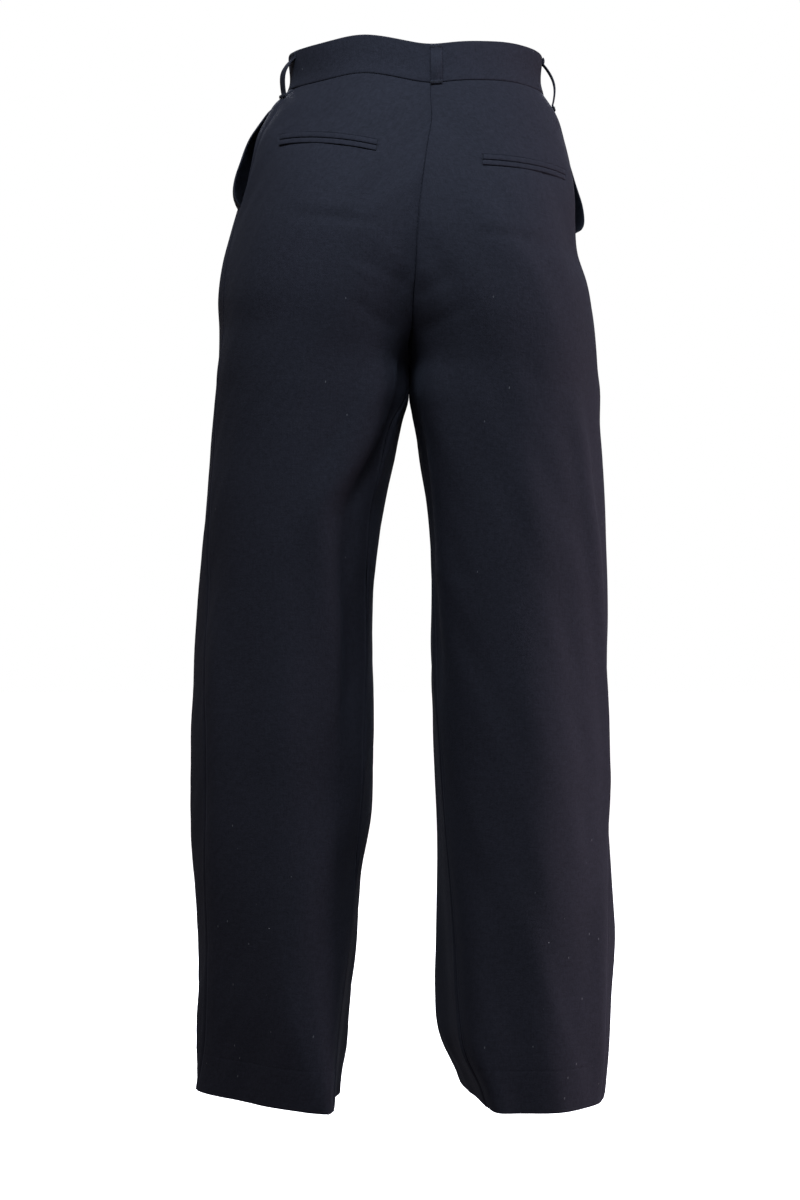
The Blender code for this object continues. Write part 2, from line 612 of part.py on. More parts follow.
# from_middle is measured along the cloth from the centre back, or from the centre front if negative;
# drop is how far the loop reaches below the waistband, stand_off its bow in the middle
LOOPS = [
    Loop("loop_back", RIGHT, 0.0055, 0.002, 0.0030),
    Loop("loop_left", LEFT, None, 0.012, 0.0068),
    Loop("loop_right", RIGHT, None, 0.012, 0.0068),
    Loop("loop_front_left", LEFT, -0.082, 0.009, 0.0030),
    Loop("loop_front_right", RIGHT, -0.082, 0.009, 0.0030),
]


def make_loop(loop):
    """A strap sewn down at both ends, which bows out over the waistband between them."""
    side = loop.side
    seam = ring(side, WAIST_SEAM)
    top = WAIST_SEAM + SEAM_GAP + WAISTBAND_HEIGHT - LOOP_TOP_MARGIN
    bottom = WAIST_SEAM - loop.drop

    def centre(level):
        r = ring(side, level)
        if loop.from_middle is None:
            return r.outseam + 0.004
        return r.start + loop.from_middle if loop.from_middle > 0 else r.end + loop.from_middle

    on_band = WAISTBAND_PROUD + SEAM_GAP
    if side == RIGHT and loop.from_middle is not None and loop.from_middle < 0:
        on_band += band_lift(side, seam.end + loop.from_middle, seam) - WAISTBAND_PROUD
    laid_top, laid_bottom = top - LOOP_LAID, bottom + LOOP_LAID * 0.6

    def place(level, across):
        """A place on the cloth under the loop, lifted over the waistband's edge."""
        arc = centre(level) + across
        lift = SEAM_GAP + (on_band - SEAM_GAP) * ease((level - bottom - 0.001) / 0.003)
        normal = outward(side, level, arc)
        return spot(side, level, arc) + lift * normal, normal

    outside, inside = [], []
    for level in stretch_levels([top, laid_top, laid_bottom, bottom], [2, 10, 2]):
        row_out, row_in = [], []
        for across in between(-LOOP_WIDTH / 2, LOOP_WIDTH / 2, 3):
            if laid_bottom < level < laid_top:
                share = (laid_top - level) / (laid_top - laid_bottom)
                (high, high_normal), (low, low_normal) = place(laid_top, across), place(laid_bottom, across)
                normal = high_normal + (low_normal - high_normal) * share
                bow = loop.stand_off * math.sin(math.pi * share) ** 0.8
                point = high + (low - high) * share + bow * normal
            else:
                point, normal = place(level, across)
            row_out.append(point + LOOP_THICKNESS * normal)
            row_in.append(point)
        outside.append(row_out)
        inside.append(row_in)
    wall(loop.name, np.array(outside), np.array(inside), SUITING)


def front_place(level, x_from_middle):
    """A place beside the centre front: to the wearer's left if positive, to the right if negative."""
    side = LEFT if x_from_middle >= 0 else RIGHT
    return side, ring(side, level).end - abs(x_from_middle)


def front_strip(name, levels, edges, columns, lift, thickness, finish):
    outside, inside = [], []
    for level in levels:
        low, high = edges(level)
        row_out, row_in = [], []
        for x in between(low, high, columns):
            side, arc = front_place(level, x)
            normal = outward(side, level, arc)
            base = spot(side, level, arc)
            row_out.append(base + (lift + thickness) * normal)
            row_in.append(base + lift * normal)
        outside.append(row_out)
        inside.append(row_in)
    wall(name, np.array(outside), np.array(inside), finish)


def make_fly():
    def facing_edges(level):
        share = min(max((level - FLY_END) / FLY_CURVE, 0.0), 1.0)
        return -FLY_WIDTH * math.sqrt(1 - (1 - share) ** 2) - 0.002, FLY_LAP

    def zip_edges(level):
        return -ZIP_HALF_WIDTH, ZIP_HALF_WIDTH

    levels = stretch_levels([WAIST_SEAM, FLY_END + FLY_CURVE, FLY_END + 0.01, FLY_END], [8, 4, 3])
    front_strip("fly_facing", levels, facing_edges, 8, SEAM_GAP, FLY_THICKNESS, SUITING)
    levels = between(WAIST_SEAM, ZIP_END, 12)
    under = -(CLOTH + ZIP_BEHIND + ZIP_THICKNESS)
    front_strip("fly_zip", levels, zip_edges, 5, under, ZIP_THICKNESS, ZIP_CLOTH)


def button_place():
    """The frame of the waist button: its middle under the rim and its axis out of the waistband."""
    level = WAIST_SEAM + SEAM_GAP + WAISTBAND_HEIGHT / 2
    arc = ring(RIGHT, level).end
    axis = outward(RIGHT, level, arc)
    base = spot(RIGHT, level, arc) + (WAISTBAND_PROUD + WAISTBAND_THICKNESS + 2 * SEAM_GAP) * axis
    across = np.cross([0.0, 0.0, 1.0], axis)
    across /= np.linalg.norm(across)
    columns = np.stack([across, np.cross(axis, across), axis, base], axis=1)
    return Matrix([*columns.tolist(), (0.0, 0.0, 0.0, 1.0)])


def make_button():
    """A turned four-hole button on the band's right end, over the centre front."""
    rim, dish = BUTTON_RADIUS * 0.80, BUTTON_THICKNESS * 0.72
    profile = [
        (0.0, 0.0),
        (BUTTON_RADIUS * 0.86, 0.0),
        (BUTTON_RADIUS, BUTTON_THICKNESS * 0.4),
        (BUTTON_RADIUS * 0.96, BUTTON_THICKNESS * 0.85),
        (BUTTON_RADIUS * 0.88, BUTTON_THICKNESS),
        (rim, BUTTON_THICKNESS * 0.95),
        (rim * 0.90, dish),
        (0.0, dish),
    ]
    bm = bmesh.new()
    turned = [bm.verts.new((radius, 0.0, height)) for radius, height in profile]
    edges = [bm.edges.new(pair) for pair in zip(turned, turned[1:])]
    bmesh.ops.spin(
        bm, geom=turned + edges, cent=(0, 0, 0), axis=(0, 0, 1), angle=2 * math.pi, steps=28, use_merge=True
    )
    bmesh.ops.remove_doubles(bm, verts=bm.verts, dist=1e-6)
    bmesh.ops.recalc_face_normals(bm, faces=bm.faces)
    mesh = bpy.data.meshes.new("waist_button")
    bm.to_mesh(mesh)
    bm.free()
    mesh.transform(button_place())
    button = add_object("waist_button", mesh, HORN)

    holes = bmesh.new()
    for k in range(4):
        angle = math.pi / 4 + k * math.pi / 2
        hole = bmesh.ops.create_cone(
            holes, cap_ends=True, segments=10, radius1=BUTTON_HOLE_RADIUS, radius2=BUTTON_HOLE_RADIUS,
            depth=4 * BUTTON_THICKNESS,
        )
        shift = (BUTTON_HOLE_RING * math.cos(angle), BUTTON_HOLE_RING * math.sin(angle), 0.0)
        bmesh.ops.translate(holes, verts=hole["verts"], vec=shift)
    hole_mesh = bpy.data.meshes.new("button_holes_cutter")
    holes.to_mesh(hole_mesh)
    holes.free()
    hole_mesh.transform(button_place())
    cutter = bpy.data.objects.new("button_holes_cutter", hole_mesh)
    bpy.context.scene.collection.objects.link(cutter)
    cutter.hide_render = True
    cutter.display_type = "WIRE"
    cut = button.modifiers.new("holes", "BOOLEAN")
    cut.operation = "DIFFERENCE"
    cut.object = cutter


def main():
    for old in list(bpy.data.objects):
        bpy.data.objects.remove(old)
    for side in (LEFT, RIGHT):
        make_back(side)
        make_front(side)
        make_facing(side)
        make_welts(side)
    make_waistband()
    for loop in LOOPS:
        make_loop(loop)
    make_fly()
    make_button()


main()
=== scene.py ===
"""Straight-leg trousers in a dark suiting, hollow as they are when worn, seen from behind.

Metres, +Z up. The back of the garment faces +Y and the wearer's left is +X. The pieces follow the order
in which the garment is sewn: leg panels, hip facings, back pockets, seams inside, waistband, loops,
fly and button. Each is laid on the CAD model's own sections, with finer steps and real cloth edges.
"""

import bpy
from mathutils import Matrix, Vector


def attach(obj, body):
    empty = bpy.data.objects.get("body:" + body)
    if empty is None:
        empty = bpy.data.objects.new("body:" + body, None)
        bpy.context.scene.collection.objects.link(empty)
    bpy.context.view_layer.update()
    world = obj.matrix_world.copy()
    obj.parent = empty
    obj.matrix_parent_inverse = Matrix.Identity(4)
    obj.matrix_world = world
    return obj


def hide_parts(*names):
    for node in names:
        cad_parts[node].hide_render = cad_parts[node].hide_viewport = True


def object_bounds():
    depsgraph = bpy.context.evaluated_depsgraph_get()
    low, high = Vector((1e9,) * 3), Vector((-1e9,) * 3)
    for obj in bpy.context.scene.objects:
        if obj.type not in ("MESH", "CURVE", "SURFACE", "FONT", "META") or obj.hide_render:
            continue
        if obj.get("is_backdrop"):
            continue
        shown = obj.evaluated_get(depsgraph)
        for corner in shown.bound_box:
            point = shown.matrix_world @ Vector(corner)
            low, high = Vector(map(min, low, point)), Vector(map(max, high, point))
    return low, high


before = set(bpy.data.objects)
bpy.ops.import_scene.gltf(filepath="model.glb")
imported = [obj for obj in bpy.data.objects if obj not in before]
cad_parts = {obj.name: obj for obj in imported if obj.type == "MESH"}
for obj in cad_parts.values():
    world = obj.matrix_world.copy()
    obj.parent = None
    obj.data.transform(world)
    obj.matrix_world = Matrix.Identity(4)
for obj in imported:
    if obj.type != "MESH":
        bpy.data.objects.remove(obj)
cad_box = [list(corner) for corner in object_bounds()]

import math
from collections import namedtuple
from functools import lru_cache

import bpy
import numpy as np

# ---------------------------------------------------------------- leg panels
# Two back and two front panels of wool-blend suiting, cut nearly straight from the seat to the hem.
# Each leg is sewn from one of each along its outseam and inseam, and the two legs are joined along the
# centre seams. The hem is 40 mm of cloth turned up inside and felled by hand.
MM = 0.001
LEFT, RIGHT = 1, -1
SIDES = {LEFT: "left", RIGHT: "right"}
CLOTH = 0.0014
WAIST_SEAM, TOP, CROTCH, HEM = -0.0195, 0.020, -0.290, -1.0175
HEM_DEPTH = 0.040
QUARTER_STEPS = 150

# One leg's oval at a level, in millimetres, as the CAD model has it: its outer, inner, back and front
# edges, how far in the two seams lie, how square its back quarters are, and its twist
Section = namedtuple(
    "Section",
    "level outer outer_y inner inner_y back back_x front front_x outseam inseam"
    " inner_square outer_square twist",
)
LEFT_SECTIONS = [
    (20, 127, 0, -127, 0, 86, 0, -92, 0, 4, 0, 2.0, 2.0, 0.0),
    (-19.5, 130, 0, -130, 0, 89, 0, -95, 0, 4, 0, 2.0, 2.0, 0.0),
    (-35, 141, 0, -137, 0, 94, 4, -98, 3, 4, 0, 2.0, 2.0, 0.0),
    (-55, 150, 0, -140, 0, 102, 12, -101, 9, 4, 0, 2.1, 2.1, 0.0),
    (-80, 156, 0, -139, 0, 112, 25, -104, 20, 3, 0, 2.1, 2.1, 0.0),
    (-110, 159, 0, -129, 0, 123, 40, -107, 34, 2, 0, 2.2, 2.2, 0.0),
    (-140, 163, 0, -115, 0, 131, 53, -109, 46, 1, 0, 2.2, 2.2, 0.0),
    (-170, 169, 0, -96, 0, 135, 62, -110, 56, 1, 0, 2.2, 2.2, 0.0),
    (-200, 177.5, 0, -74, -2, 134, 70, -110, 64, 2, 0, 2.3, 2.2, 0.0),
    (-235, 184, 0, -42, -4, 130, 79, -110, 74, 3, 0, 2.4, 2.2, 0.0),
    (-265, 187, 0, -15, -6, 123, 87, -109, 82, 3, 0.9, 2.7, 2.2, 0.0),
    (-290, 190, 0, -0.9, -8, 117, 94, -108, 89, 3, 0.9, 3.1, 2.2, 0.0),
    (-308.5, 192.5, 0, -0.9, -8, 114, 97, -107, 93, 4, 0.9, 3.3, 2.1, 0.0),
    (-321, 193, -1.5, -0.3, -8, 112.5, 98.5, -106, 94.5, 4, 1.5, 3.35, 2.05, 0.0),
    (-340, 194, -4, 4.8, -8, 110, 101, -105, 97, 4, 3, 3.4, 2.0, 0.0),
    (-380, 197, -8, 13.2, -8, 106, 106, -102, 102, 5, 6, 3.3, 1.9, 0.0),
    (-430, 200, -12, 22, -8, 102, 111, -98, 108, 7, 9, 3.0, 1.9, 0.0),
    (-500, 203, -14, 28, -8, 98, 115, -94, 113, 9, 7, 2.6, 1.8, 0.0),
    (-580, 207.5, -14, 29, -8, 95, 117, -92, 117, 14, 6, 2.2, 1.8, 0.0),
    (-660, 211, -12, 27, -8, 94, 118, -90, 121, 20, 10, 2.1, 1.8, 0.0),
    (-740, 211, -8, 31.5, -8, 95, 119, -88, 126, 19, 8, 2.2, 1.7, 0.01),
    (-800, 208, -4, 41, -10, 98, 119, -87, 131, 16, 4, 2.5, 1.6, 0.02),
    (-860, 205, 0, 48, -12, 103, 114, -85, 137, 15, 3, 3.0, 1.5, 0.03),
    (-920, 205, 2, 56, -14, 109, 104, -83, 142, 13, 2, 4.0, 1.4, 0.03),
    (-970, 205, 4, 62, -16, 115, 90, -80, 146, 9, 1.5, 5.0, 1.3, 0.02),
    (-1017.5, 205, 4, 66, -18, 121, 75, -78, 148, 1, 1, 8.0, 1.3, 0.01),
]
RIGHT_SECTIONS = [
    (20, 124, 0, -127, 0, 86, 0, -92, 0, 2, 0, 2.0, 2.0, 0.0),
    (-19.5, 126.5, 0, -130, 0, 89, 0, -95, 0, 2, 0, 2.0, 2.0, 0.0),
    (-35, 140, 0, -137, 0, 94, 4, -98, 3, 2, 0, 2.0, 2.0, 0.0),
    (-55, 146.5, 0, -140, 0, 102, 12, -101, 9, 2, 0, 2.1, 2.1, 0.0),
    (-80, 158, 0, -139, 0, 112, 25, -104, 20, 1, 0, 2.1, 2.1, 0.0),
    (-110, 165, 0, -129, 0, 123, 40, -107, 34, 1, 0, 2.2, 2.2, 0.0),
    (-140, 168, 0, -115, 0, 131, 53, -109, 46, 1, 0, 2.2, 2.2, 0.0),
    (-170, 172.5, 0, -96, 0, 135, 62, -110, 56, 1, 0, 2.2, 2.2, 0.0),
    (-200, 182, 0, -74, -2, 134, 70, -110, 64, 1, 0, 2.3, 2.2, 0.0),
    (-235, 187.5, 0, -42, -4, 130, 79, -110, 74, 1, 0, 2.4, 2.2, 0.0),
    (-265, 188, 0, -15, -6, 123, 87, -109, 82, 1, 0.9, 2.6, 2.2, 0.0),
    (-290, 188.5, 0, -0.9, -8, 117, 94, -108, 89, 1, 0.9, 2.9, 2.2, 0.0),
    (-308.5, 190.5, 0, -0.9, -8, 114, 97, -107, 93, 1, 0.9, 3.0, 2.1, 0.0),
    (-321, 191, -0.8, -0.3, -8, 112.5, 98.5, -106, 94.5, 1, 0.3, 3.0, 2.1, 0.0),
    (-340, 192, -2, 4.8, -8, 110, 101, -105, 97, 1, 0, 3.0, 2.1, 0.0),
    (-380, 195, -4, 13.5, -8, 106, 106, -102, 102, 1, 0, 2.9, 2.0, 0.0),
    (-430, 199.5, -6, 22.3, -8, 102, 109, -98, 106, 1, 0, 2.7, 2.0, 0.0),
    (-500, 204, -8, 28, -8, 98, 112, -94, 109, 1, 0, 2.4, 2.0, 0.0),
    (-580, 205, -10, 30.3, -8, 95, 115, -92, 111, 1, 1, 2.2, 2.0, 0.01),
    (-660, 206.5, -10, 35, -8, 95, 118, -90, 112, 1, 2, 2.3, 2.0, 0.02),
    (-740, 207, -8, 40, -8, 97, 118, -88, 111, 2, 2, 2.6, 2.0, 0.05),
    (-800, 210, -4, 42, -10, 100, 112, -87, 110, 5, 2, 3.2, 2.0, 0.09),
    (-860, 212, 0, 42, -12, 105, 108, -85, 110, 10, 2, 4.0, 2.0, 0.13),
    (-920, 209, 2, 41.5, -14, 111, 108, -83, 112, 12, 1.5, 5.0, 2.1, 0.16),
    (-970, 206.5, 2, 45, -16, 116, 108, -80, 116, 12, 1.5, 6.0, 2.2, 0.18),
    (-1000, 203.5, 1, 58, -17, 119, 108, -79, 119, 12, 1.2, 7.0, 2.3, 0.18),
    (-1017.5, 202, 0, 63, -18, 121, 108, -78, 120, 13, 1, 8.0, 2.3, 0.18),
]
FRONT_SQUARE = 2.2

# The middle seams' plane at a level: its place, its turn, and the tilt of the hips
Middle = namedtuple("Middle", "level x turn tilt")
MIDDLE = [
    (20, 0, 0.15, 0.020),
    (-19.5, 0, 0.15, 0.025),
    (-35, 1, 0.15, 0.050),
    (-55, 0, 0.14, 0.090),
    (-80, 4.5, 0.135, 0.115),
    (-110, 9.5, 0.13, 0.105),
    (-140, 13.5, 0.13, 0.085),
    (-170, 16, 0.13, 0.078),
    (-200, 15.5, 0.12, 0.072),
    (-235, 13.5, 0.09, 0.067),
    (-265, 9.5, 0.06, 0.060),
    (-290, 8, 0.03, 0.050),
    (-308.5, 7.5, 0.01, 0.044),
    (-340, 8.5, 0.00, 0.035),
    (-380, 9.5, 0.00, 0.026),
    (-430, 11.5, 0.00, 0.016),
    (-500, 13.5, 0.00, 0.000),
    (-1017.5, 13.5, 0.00, 0.000),
]
WAIST_SLOPE = 0.04
WAIST_FADE = -0.080, -0.035
Wave = namedtuple("Wave", "x width rise")
WAIST_WAVES = [Wave(-12, 28, -4.8), Wave(56, 32, 5.5), Wave(-95, 30, 2.5)]
HEM_RISE = {LEFT: 0.045, RIGHT: 0.06}
HEM_RISE_START = -0.80
HEM_BACK = 0.120

# Long soft folds; round_ is 0 at the inseam or centre back, 1 at the outseam, 2 at the front's end
Fold = namedtuple("Fold", "side top bottom round_top round_bottom width height")
FOLDS = [
    Fold(LEFT, -0.25, -0.62, 0.36, 0.24, 0.020, 0.0050),
    Fold(LEFT, -0.225, -0.60, 0.23, 0.15, 0.016, -0.0070),
    Fold(LEFT, -0.50, -0.98, 0.90, 0.94, 0.020, 0.0035),
    Fold(LEFT, -0.62, -0.99, 0.62, 0.60, 0.030, -0.0035),
    Fold(LEFT, -0.30, -0.80, 1.22, 1.30, 0.026, 0.0060),
    Fold(LEFT, -0.30, -0.97, 1.48, 1.55, 0.030, -0.0060),
    Fold(LEFT, -0.55, -1.00, 1.74, 1.72, 0.026, 0.0060),
    Fold(RIGHT, -0.25, -0.50, 0.30, 0.24, 0.022, 0.0040),
    Fold(RIGHT, -0.29, -0.56, 0.12, 0.06, 0.018, -0.0045),
    Fold(RIGHT, -0.29, -0.70, 0.74, 0.96, 0.013, 0.0058),
    Fold(RIGHT, -0.45, -0.85, 0.66, 0.82, 0.024, -0.0035),
    Fold(RIGHT, -0.76, -1.00, 0.93, 0.96, 0.014, 0.0035),
    Fold(RIGHT, -0.72, -1.00, 0.30, 0.34, 0.032, -0.0040),
    Fold(RIGHT, -0.30, -0.85, 1.30, 1.22, 0.028, 0.0060),
    Fold(RIGHT, -0.32, -0.98, 1.56, 1.50, 0.030, -0.0060),
    Fold(RIGHT, -0.52, -1.00, 1.80, 1.78, 0.024, 0.0060),
]
FOLD_END = 0.09
FOLD_START = 0.015  # where the folds are measured from at the crotch


@lru_cache(maxsize=None)
def knots(levels, values):
    x, y = np.array(levels, dtype=float)[::-1], np.array(values, dtype=float)[::-1]
    return x, y, np.gradient(y, x)


def through(levels, values, level):
    x, y, slopes = knots(levels, values)
    i = int(np.clip(np.searchsorted(x, level) - 1, 0, len(x) - 2))
    span = x[i + 1] - x[i]
    t = min(max((level - x[i]) / span, 0.0), 1.0)
    rise = (1 + 2 * t) * (1 - t) ** 2 * y[i] + t * t * (3 - 2 * t) * y[i + 1]
    return rise + span * (t * (1 - t) ** 2 * slopes[i] - t * t * (1 - t) * slopes[i + 1])


def ease(t):
    t = np.clip(t, 0.0, 1.0)
    return t * t * (3 - 2 * t)


def read_table(kind, rows, level, plain):
    columns = list(zip(*rows))
    read = [through(columns[0], column, level / MM) for column in columns[1:]]
    split = len(read) - plain
    return kind(level, *[value * MM for value in read[:split]], *read[split:])


@lru_cache(maxsize=None)
def section(side, level):
    return read_table(Section, LEFT_SECTIONS if side == LEFT else RIGHT_SECTIONS, level, plain=3)


@lru_cache(maxsize=None)
def middle(level):
    return read_table(Middle, MIDDLE, level, plain=2)


def quarter(start, end, square, flat_start):
    angle = np.linspace(0.0, math.pi / 2, QUARTER_STEPS)[:-1]
    rising = np.sin(angle) ** (2 / square)
    falling = 1 - np.cos(angle) ** (2 / square)
    shares = (falling, rising) if flat_start else (rising, falling)
    return np.stack([a + (b - a) * share for a, b, share in zip(start, end, shares)], axis=1)


def oval(side, level):
    s = section(side, level)
    inner, back = (s.inner, s.inner_y), (s.back_x, s.back)
    outer, front = (s.outer, s.outer_y), (s.front_x, s.front)
    quarters = [
        quarter(inner, back, s.inner_square, True),
        quarter(back, outer, s.outer_square, False),
        quarter(outer, front, FRONT_SQUARE, True),
        quarter(front, inner, FRONT_SQUARE, False),
    ]
    return np.concatenate(quarters + [quarters[0][:1]])


def run_along(points):
    """How far along the line each of its points lies."""
    return np.concatenate([[0.0], np.cumsum(np.linalg.norm(np.diff(points, axis=0), axis=1))])


def crossing(sideways, arc, value):
    if sideways[0] > sideways[-1]:
        sideways, arc = sideways[::-1], arc[::-1]
    return float(np.interp(value, sideways, arc))


def fold_heights(side, level, arc, start, outseam, end):
    total, around = np.zeros(len(arc)), arc[-1]
    start = FOLD_START + (start - FOLD_START) * float(ease((-0.34 - level) / 0.11))
    for fold in FOLDS:
        if fold.side != side or not fold.bottom - FOLD_END < level < fold.top:
            continue
        along = (fold.top - level) / (fold.top - fold.bottom)
        place = fold.round_top + (fold.round_bottom - fold.round_top) * min(along, 1.0)
        centre = np.interp(place, [0, 1, 2], [start, outseam, end])
        away = np.abs(arc - centre % around)
        away = np.minimum(away, around - away)
        fade = ease((fold.top - level) / FOLD_END)
        if fold.bottom > HEM + FOLD_END:
            fade = fade * ease((level - fold.bottom) / FOLD_END + 1)
        total += fold.height * fade * np.exp(-((away / fold.width) ** 2))
    return total


Ring = namedtuple("Ring", "points arc start outseam end")


@lru_cache(maxsize=None)
def ring(side, level):
    """One leg's section with its folds, and its seams' places measured along the cloth."""
    s = section(side, level)
    points = oval(side, level)
    arc = run_along(points)
    at_back, at_outer = QUARTER_STEPS - 1, 2 * (QUARTER_STEPS - 1)
    x = points[:, 0]
    outseam = crossing(x[at_back : at_outer + 1], arc[at_back : at_outer + 1], s.outer - s.outseam)
    if level > CROTCH:
        start = crossing(x[: at_outer + 1], arc[: at_outer + 1], 0.0)
        end = crossing(x[at_outer:], arc[at_outer:], 0.0)
    else:
        start = crossing(x[: at_back + 1], arc[: at_back + 1], s.inner + s.inseam)
        end = start + arc[-1]
    ahead = np.roll(points[:-1], -1, axis=0) - np.roll(points[:-1], 1, axis=0)
    ahead = np.concatenate([ahead, ahead[:1]])
    normals = np.stack([-ahead[:, 1], ahead[:, 0]], axis=1)
    normals /= np.linalg.norm(normals, axis=1)[:, None]
    folded = points + normals * fold_heights(side, level, arc, start, outseam, end)[:, None]
    folded[:, 0] += s.twist * folded[:, 1] * (s.outer - folded[:, 0]) / (s.outer - s.inner)
    return Ring(folded, arc, start, outseam, end)


def posed(side, level, sideways, depth):
    """Points of a section in the garment's frame, with the lean of the hips, waist and hem."""
    m = middle(level)
    x = m.x - m.turn * depth + side * sideways
    waves = sum(w.rise * MM * np.exp(-(((x - w.x * MM) / (w.width * MM)) ** 2)) for w in WAIST_WAVES)
    waist = WAIST_SLOPE * depth + waves * ease(depth / 0.04)
    waist = waist * ease((level - WAIST_FADE[0]) / (WAIST_FADE[1] - WAIST_FADE[0]))
    rise = HEM_RISE[side] * ease((HEM_RISE_START - level) / (HEM_RISE_START - HEM))
    z = level + m.tilt * x + waist + rise * (HEM_BACK - depth)
    return np.stack([x, depth + 0.0 * x, z], axis=-1)


def cloth_line(side, level, arcs):
    r = ring(side, level)
    at = np.asarray(arcs) % r.arc[-1]
    return posed(side, level, np.interp(at, r.arc, r.points[:, 0]), np.interp(at, r.arc, r.points[:, 1]))


PROBE_ALONG, PROBE_DOWN = 0.002, 0.003


def outward(side, level, arcs):
    """Unit normals of the cloth's outside along one level."""
    from_outseam = np.asarray(arcs) - ring(side, level).outseam
    along = cloth_line(side, level, arcs + PROBE_ALONG) - cloth_line(side, level, arcs - PROBE_ALONG)
    upper, lower = min(level + PROBE_DOWN, TOP), max(level - PROBE_DOWN, HEM)
    up = cloth_line(side, upper, ring(side, upper).outseam + from_outseam) - cloth_line(
        side, lower, ring(side, lower).outseam + from_outseam
    )
    normal = side * np.cross(up, along)
    return normal / np.linalg.norm(normal, axis=-1, keepdims=True)


# Side pocket: how far the mouth lies ahead of the outseam, and how the front panel gapes over it
MOUTH_TOP_AHEAD, MOUTH_END, MOUTH_GAPE = 0.045, -0.146, 0.0115
GAPE_PEAK = {LEFT: 0.42, RIGHT: 0.33}
GAPE_AHEAD = 0.100


def mouth_ahead(level):
    share = (level - MOUTH_END) / (WAIST_SEAM - MOUTH_END)
    return MOUTH_TOP_AHEAD * min(max(share, 0.0), 1.0)


def gape(side, level, ahead):
    share = (level - MOUTH_END) / (WAIST_SEAM - MOUTH_END)
    if not 0.0 < share < 1.0:
        return 0.0 * ahead
    mouth = mouth_ahead(level)
    fall = 1 - ease((ahead - mouth) / (GAPE_AHEAD - mouth))
    return MOUTH_GAPE * math.sin(math.pi * share ** GAPE_PEAK[side]) ** 1.6 * fall


class Wire:
    """One output of a node, for arithmetic that adds Math nodes to its tree."""

    def __init__(self, board, socket):
        self.board, self.socket = board, socket

    def math(self, operation, *values):
        inputs = dict(enumerate(values))
        return self.board.add("ShaderNodeMath", {"operation": operation}, inputs)

    def __add__(self, other):
        return self.math("ADD", self, other)

    def __sub__(self, other):
        return self.math("SUBTRACT", self, other)

    def __rsub__(self, other):
        return self.math("SUBTRACT", other, self)

    def __mul__(self, other):
        return self.math("MULTIPLY", self, other)

    def __gt__(self, other):
        return self.math("GREATER_THAN", self, other)

    __radd__, __rmul__ = __add__, __mul__


class Board:
    """A node tree that nodes are added to."""

    def __init__(self, tree):
        self.tree = tree

    def add(self, kind, settings=None, inputs=None, out=0):
        """Adds a node: its settings first, then the values or links of its sockets."""
        node = self.tree.nodes.new(kind)
        for name, value in (settings or {}).items():
            if name == "stops":
                while len(node.color_ramp.elements) < len(value):
                    node.color_ramp.elements.new(1.0)
                for stop, (place, colour) in zip(node.color_ramp.elements, value):
                    stop.position, stop.color = place, (*colour, 1.0)
            else:
                setattr(node, name, value)
        for name, value in (inputs or {}).items():
            if isinstance(value, Wire):
                self.tree.links.new(value.socket, node.inputs[name])
            else:
                node.inputs[name].default_value = value
        return Wire(self, node.outputs[out]) if len(node.outputs) else node


def finish_named(name, viewport):
    """A new material with its board and its shader's sockets to fill."""
    made = bpy.data.materials.new(name)
    made.use_nodes = True
    made.diffuse_color = (*viewport, 1.0)
    made.node_tree.nodes.clear()
    return made, Board(made.node_tree)


def blend(board, factor, first, second):
    """A colour between two others, each a plain colour or a link."""
    ends = [end if isinstance(end, Wire) else (*end, 1.0) for end in (first, second)]
    inputs = {"Factor": factor, "A": ends[0], "B": ends[1]}
    return board.add("ShaderNodeMix", {"data_type": "RGBA"}, inputs, "Result")


def shade(board, sockets):
    shader = board.add("ShaderNodeBsdfPrincipled", {}, sockets)
    board.add("ShaderNodeOutputMaterial", {}, {"Surface": shader})


THREAD_PITCH, TWILL_ANGLE = 0.00045, 58  # between the suiting's ribs, and their slant in degrees
DARK, LIGHT, LINT = (0.0078, 0.0076, 0.0098), (0.0152, 0.0150, 0.0196), (0.15, 0.15, 0.15)
# Painted highlight: the lighter colour laid along the pressed seams of the legs, where their ridges catch the
# light
SEAM_HIGHLIGHT_PAINT = (0.029, 0.029, 0.036)  # the pressed edges of the seams


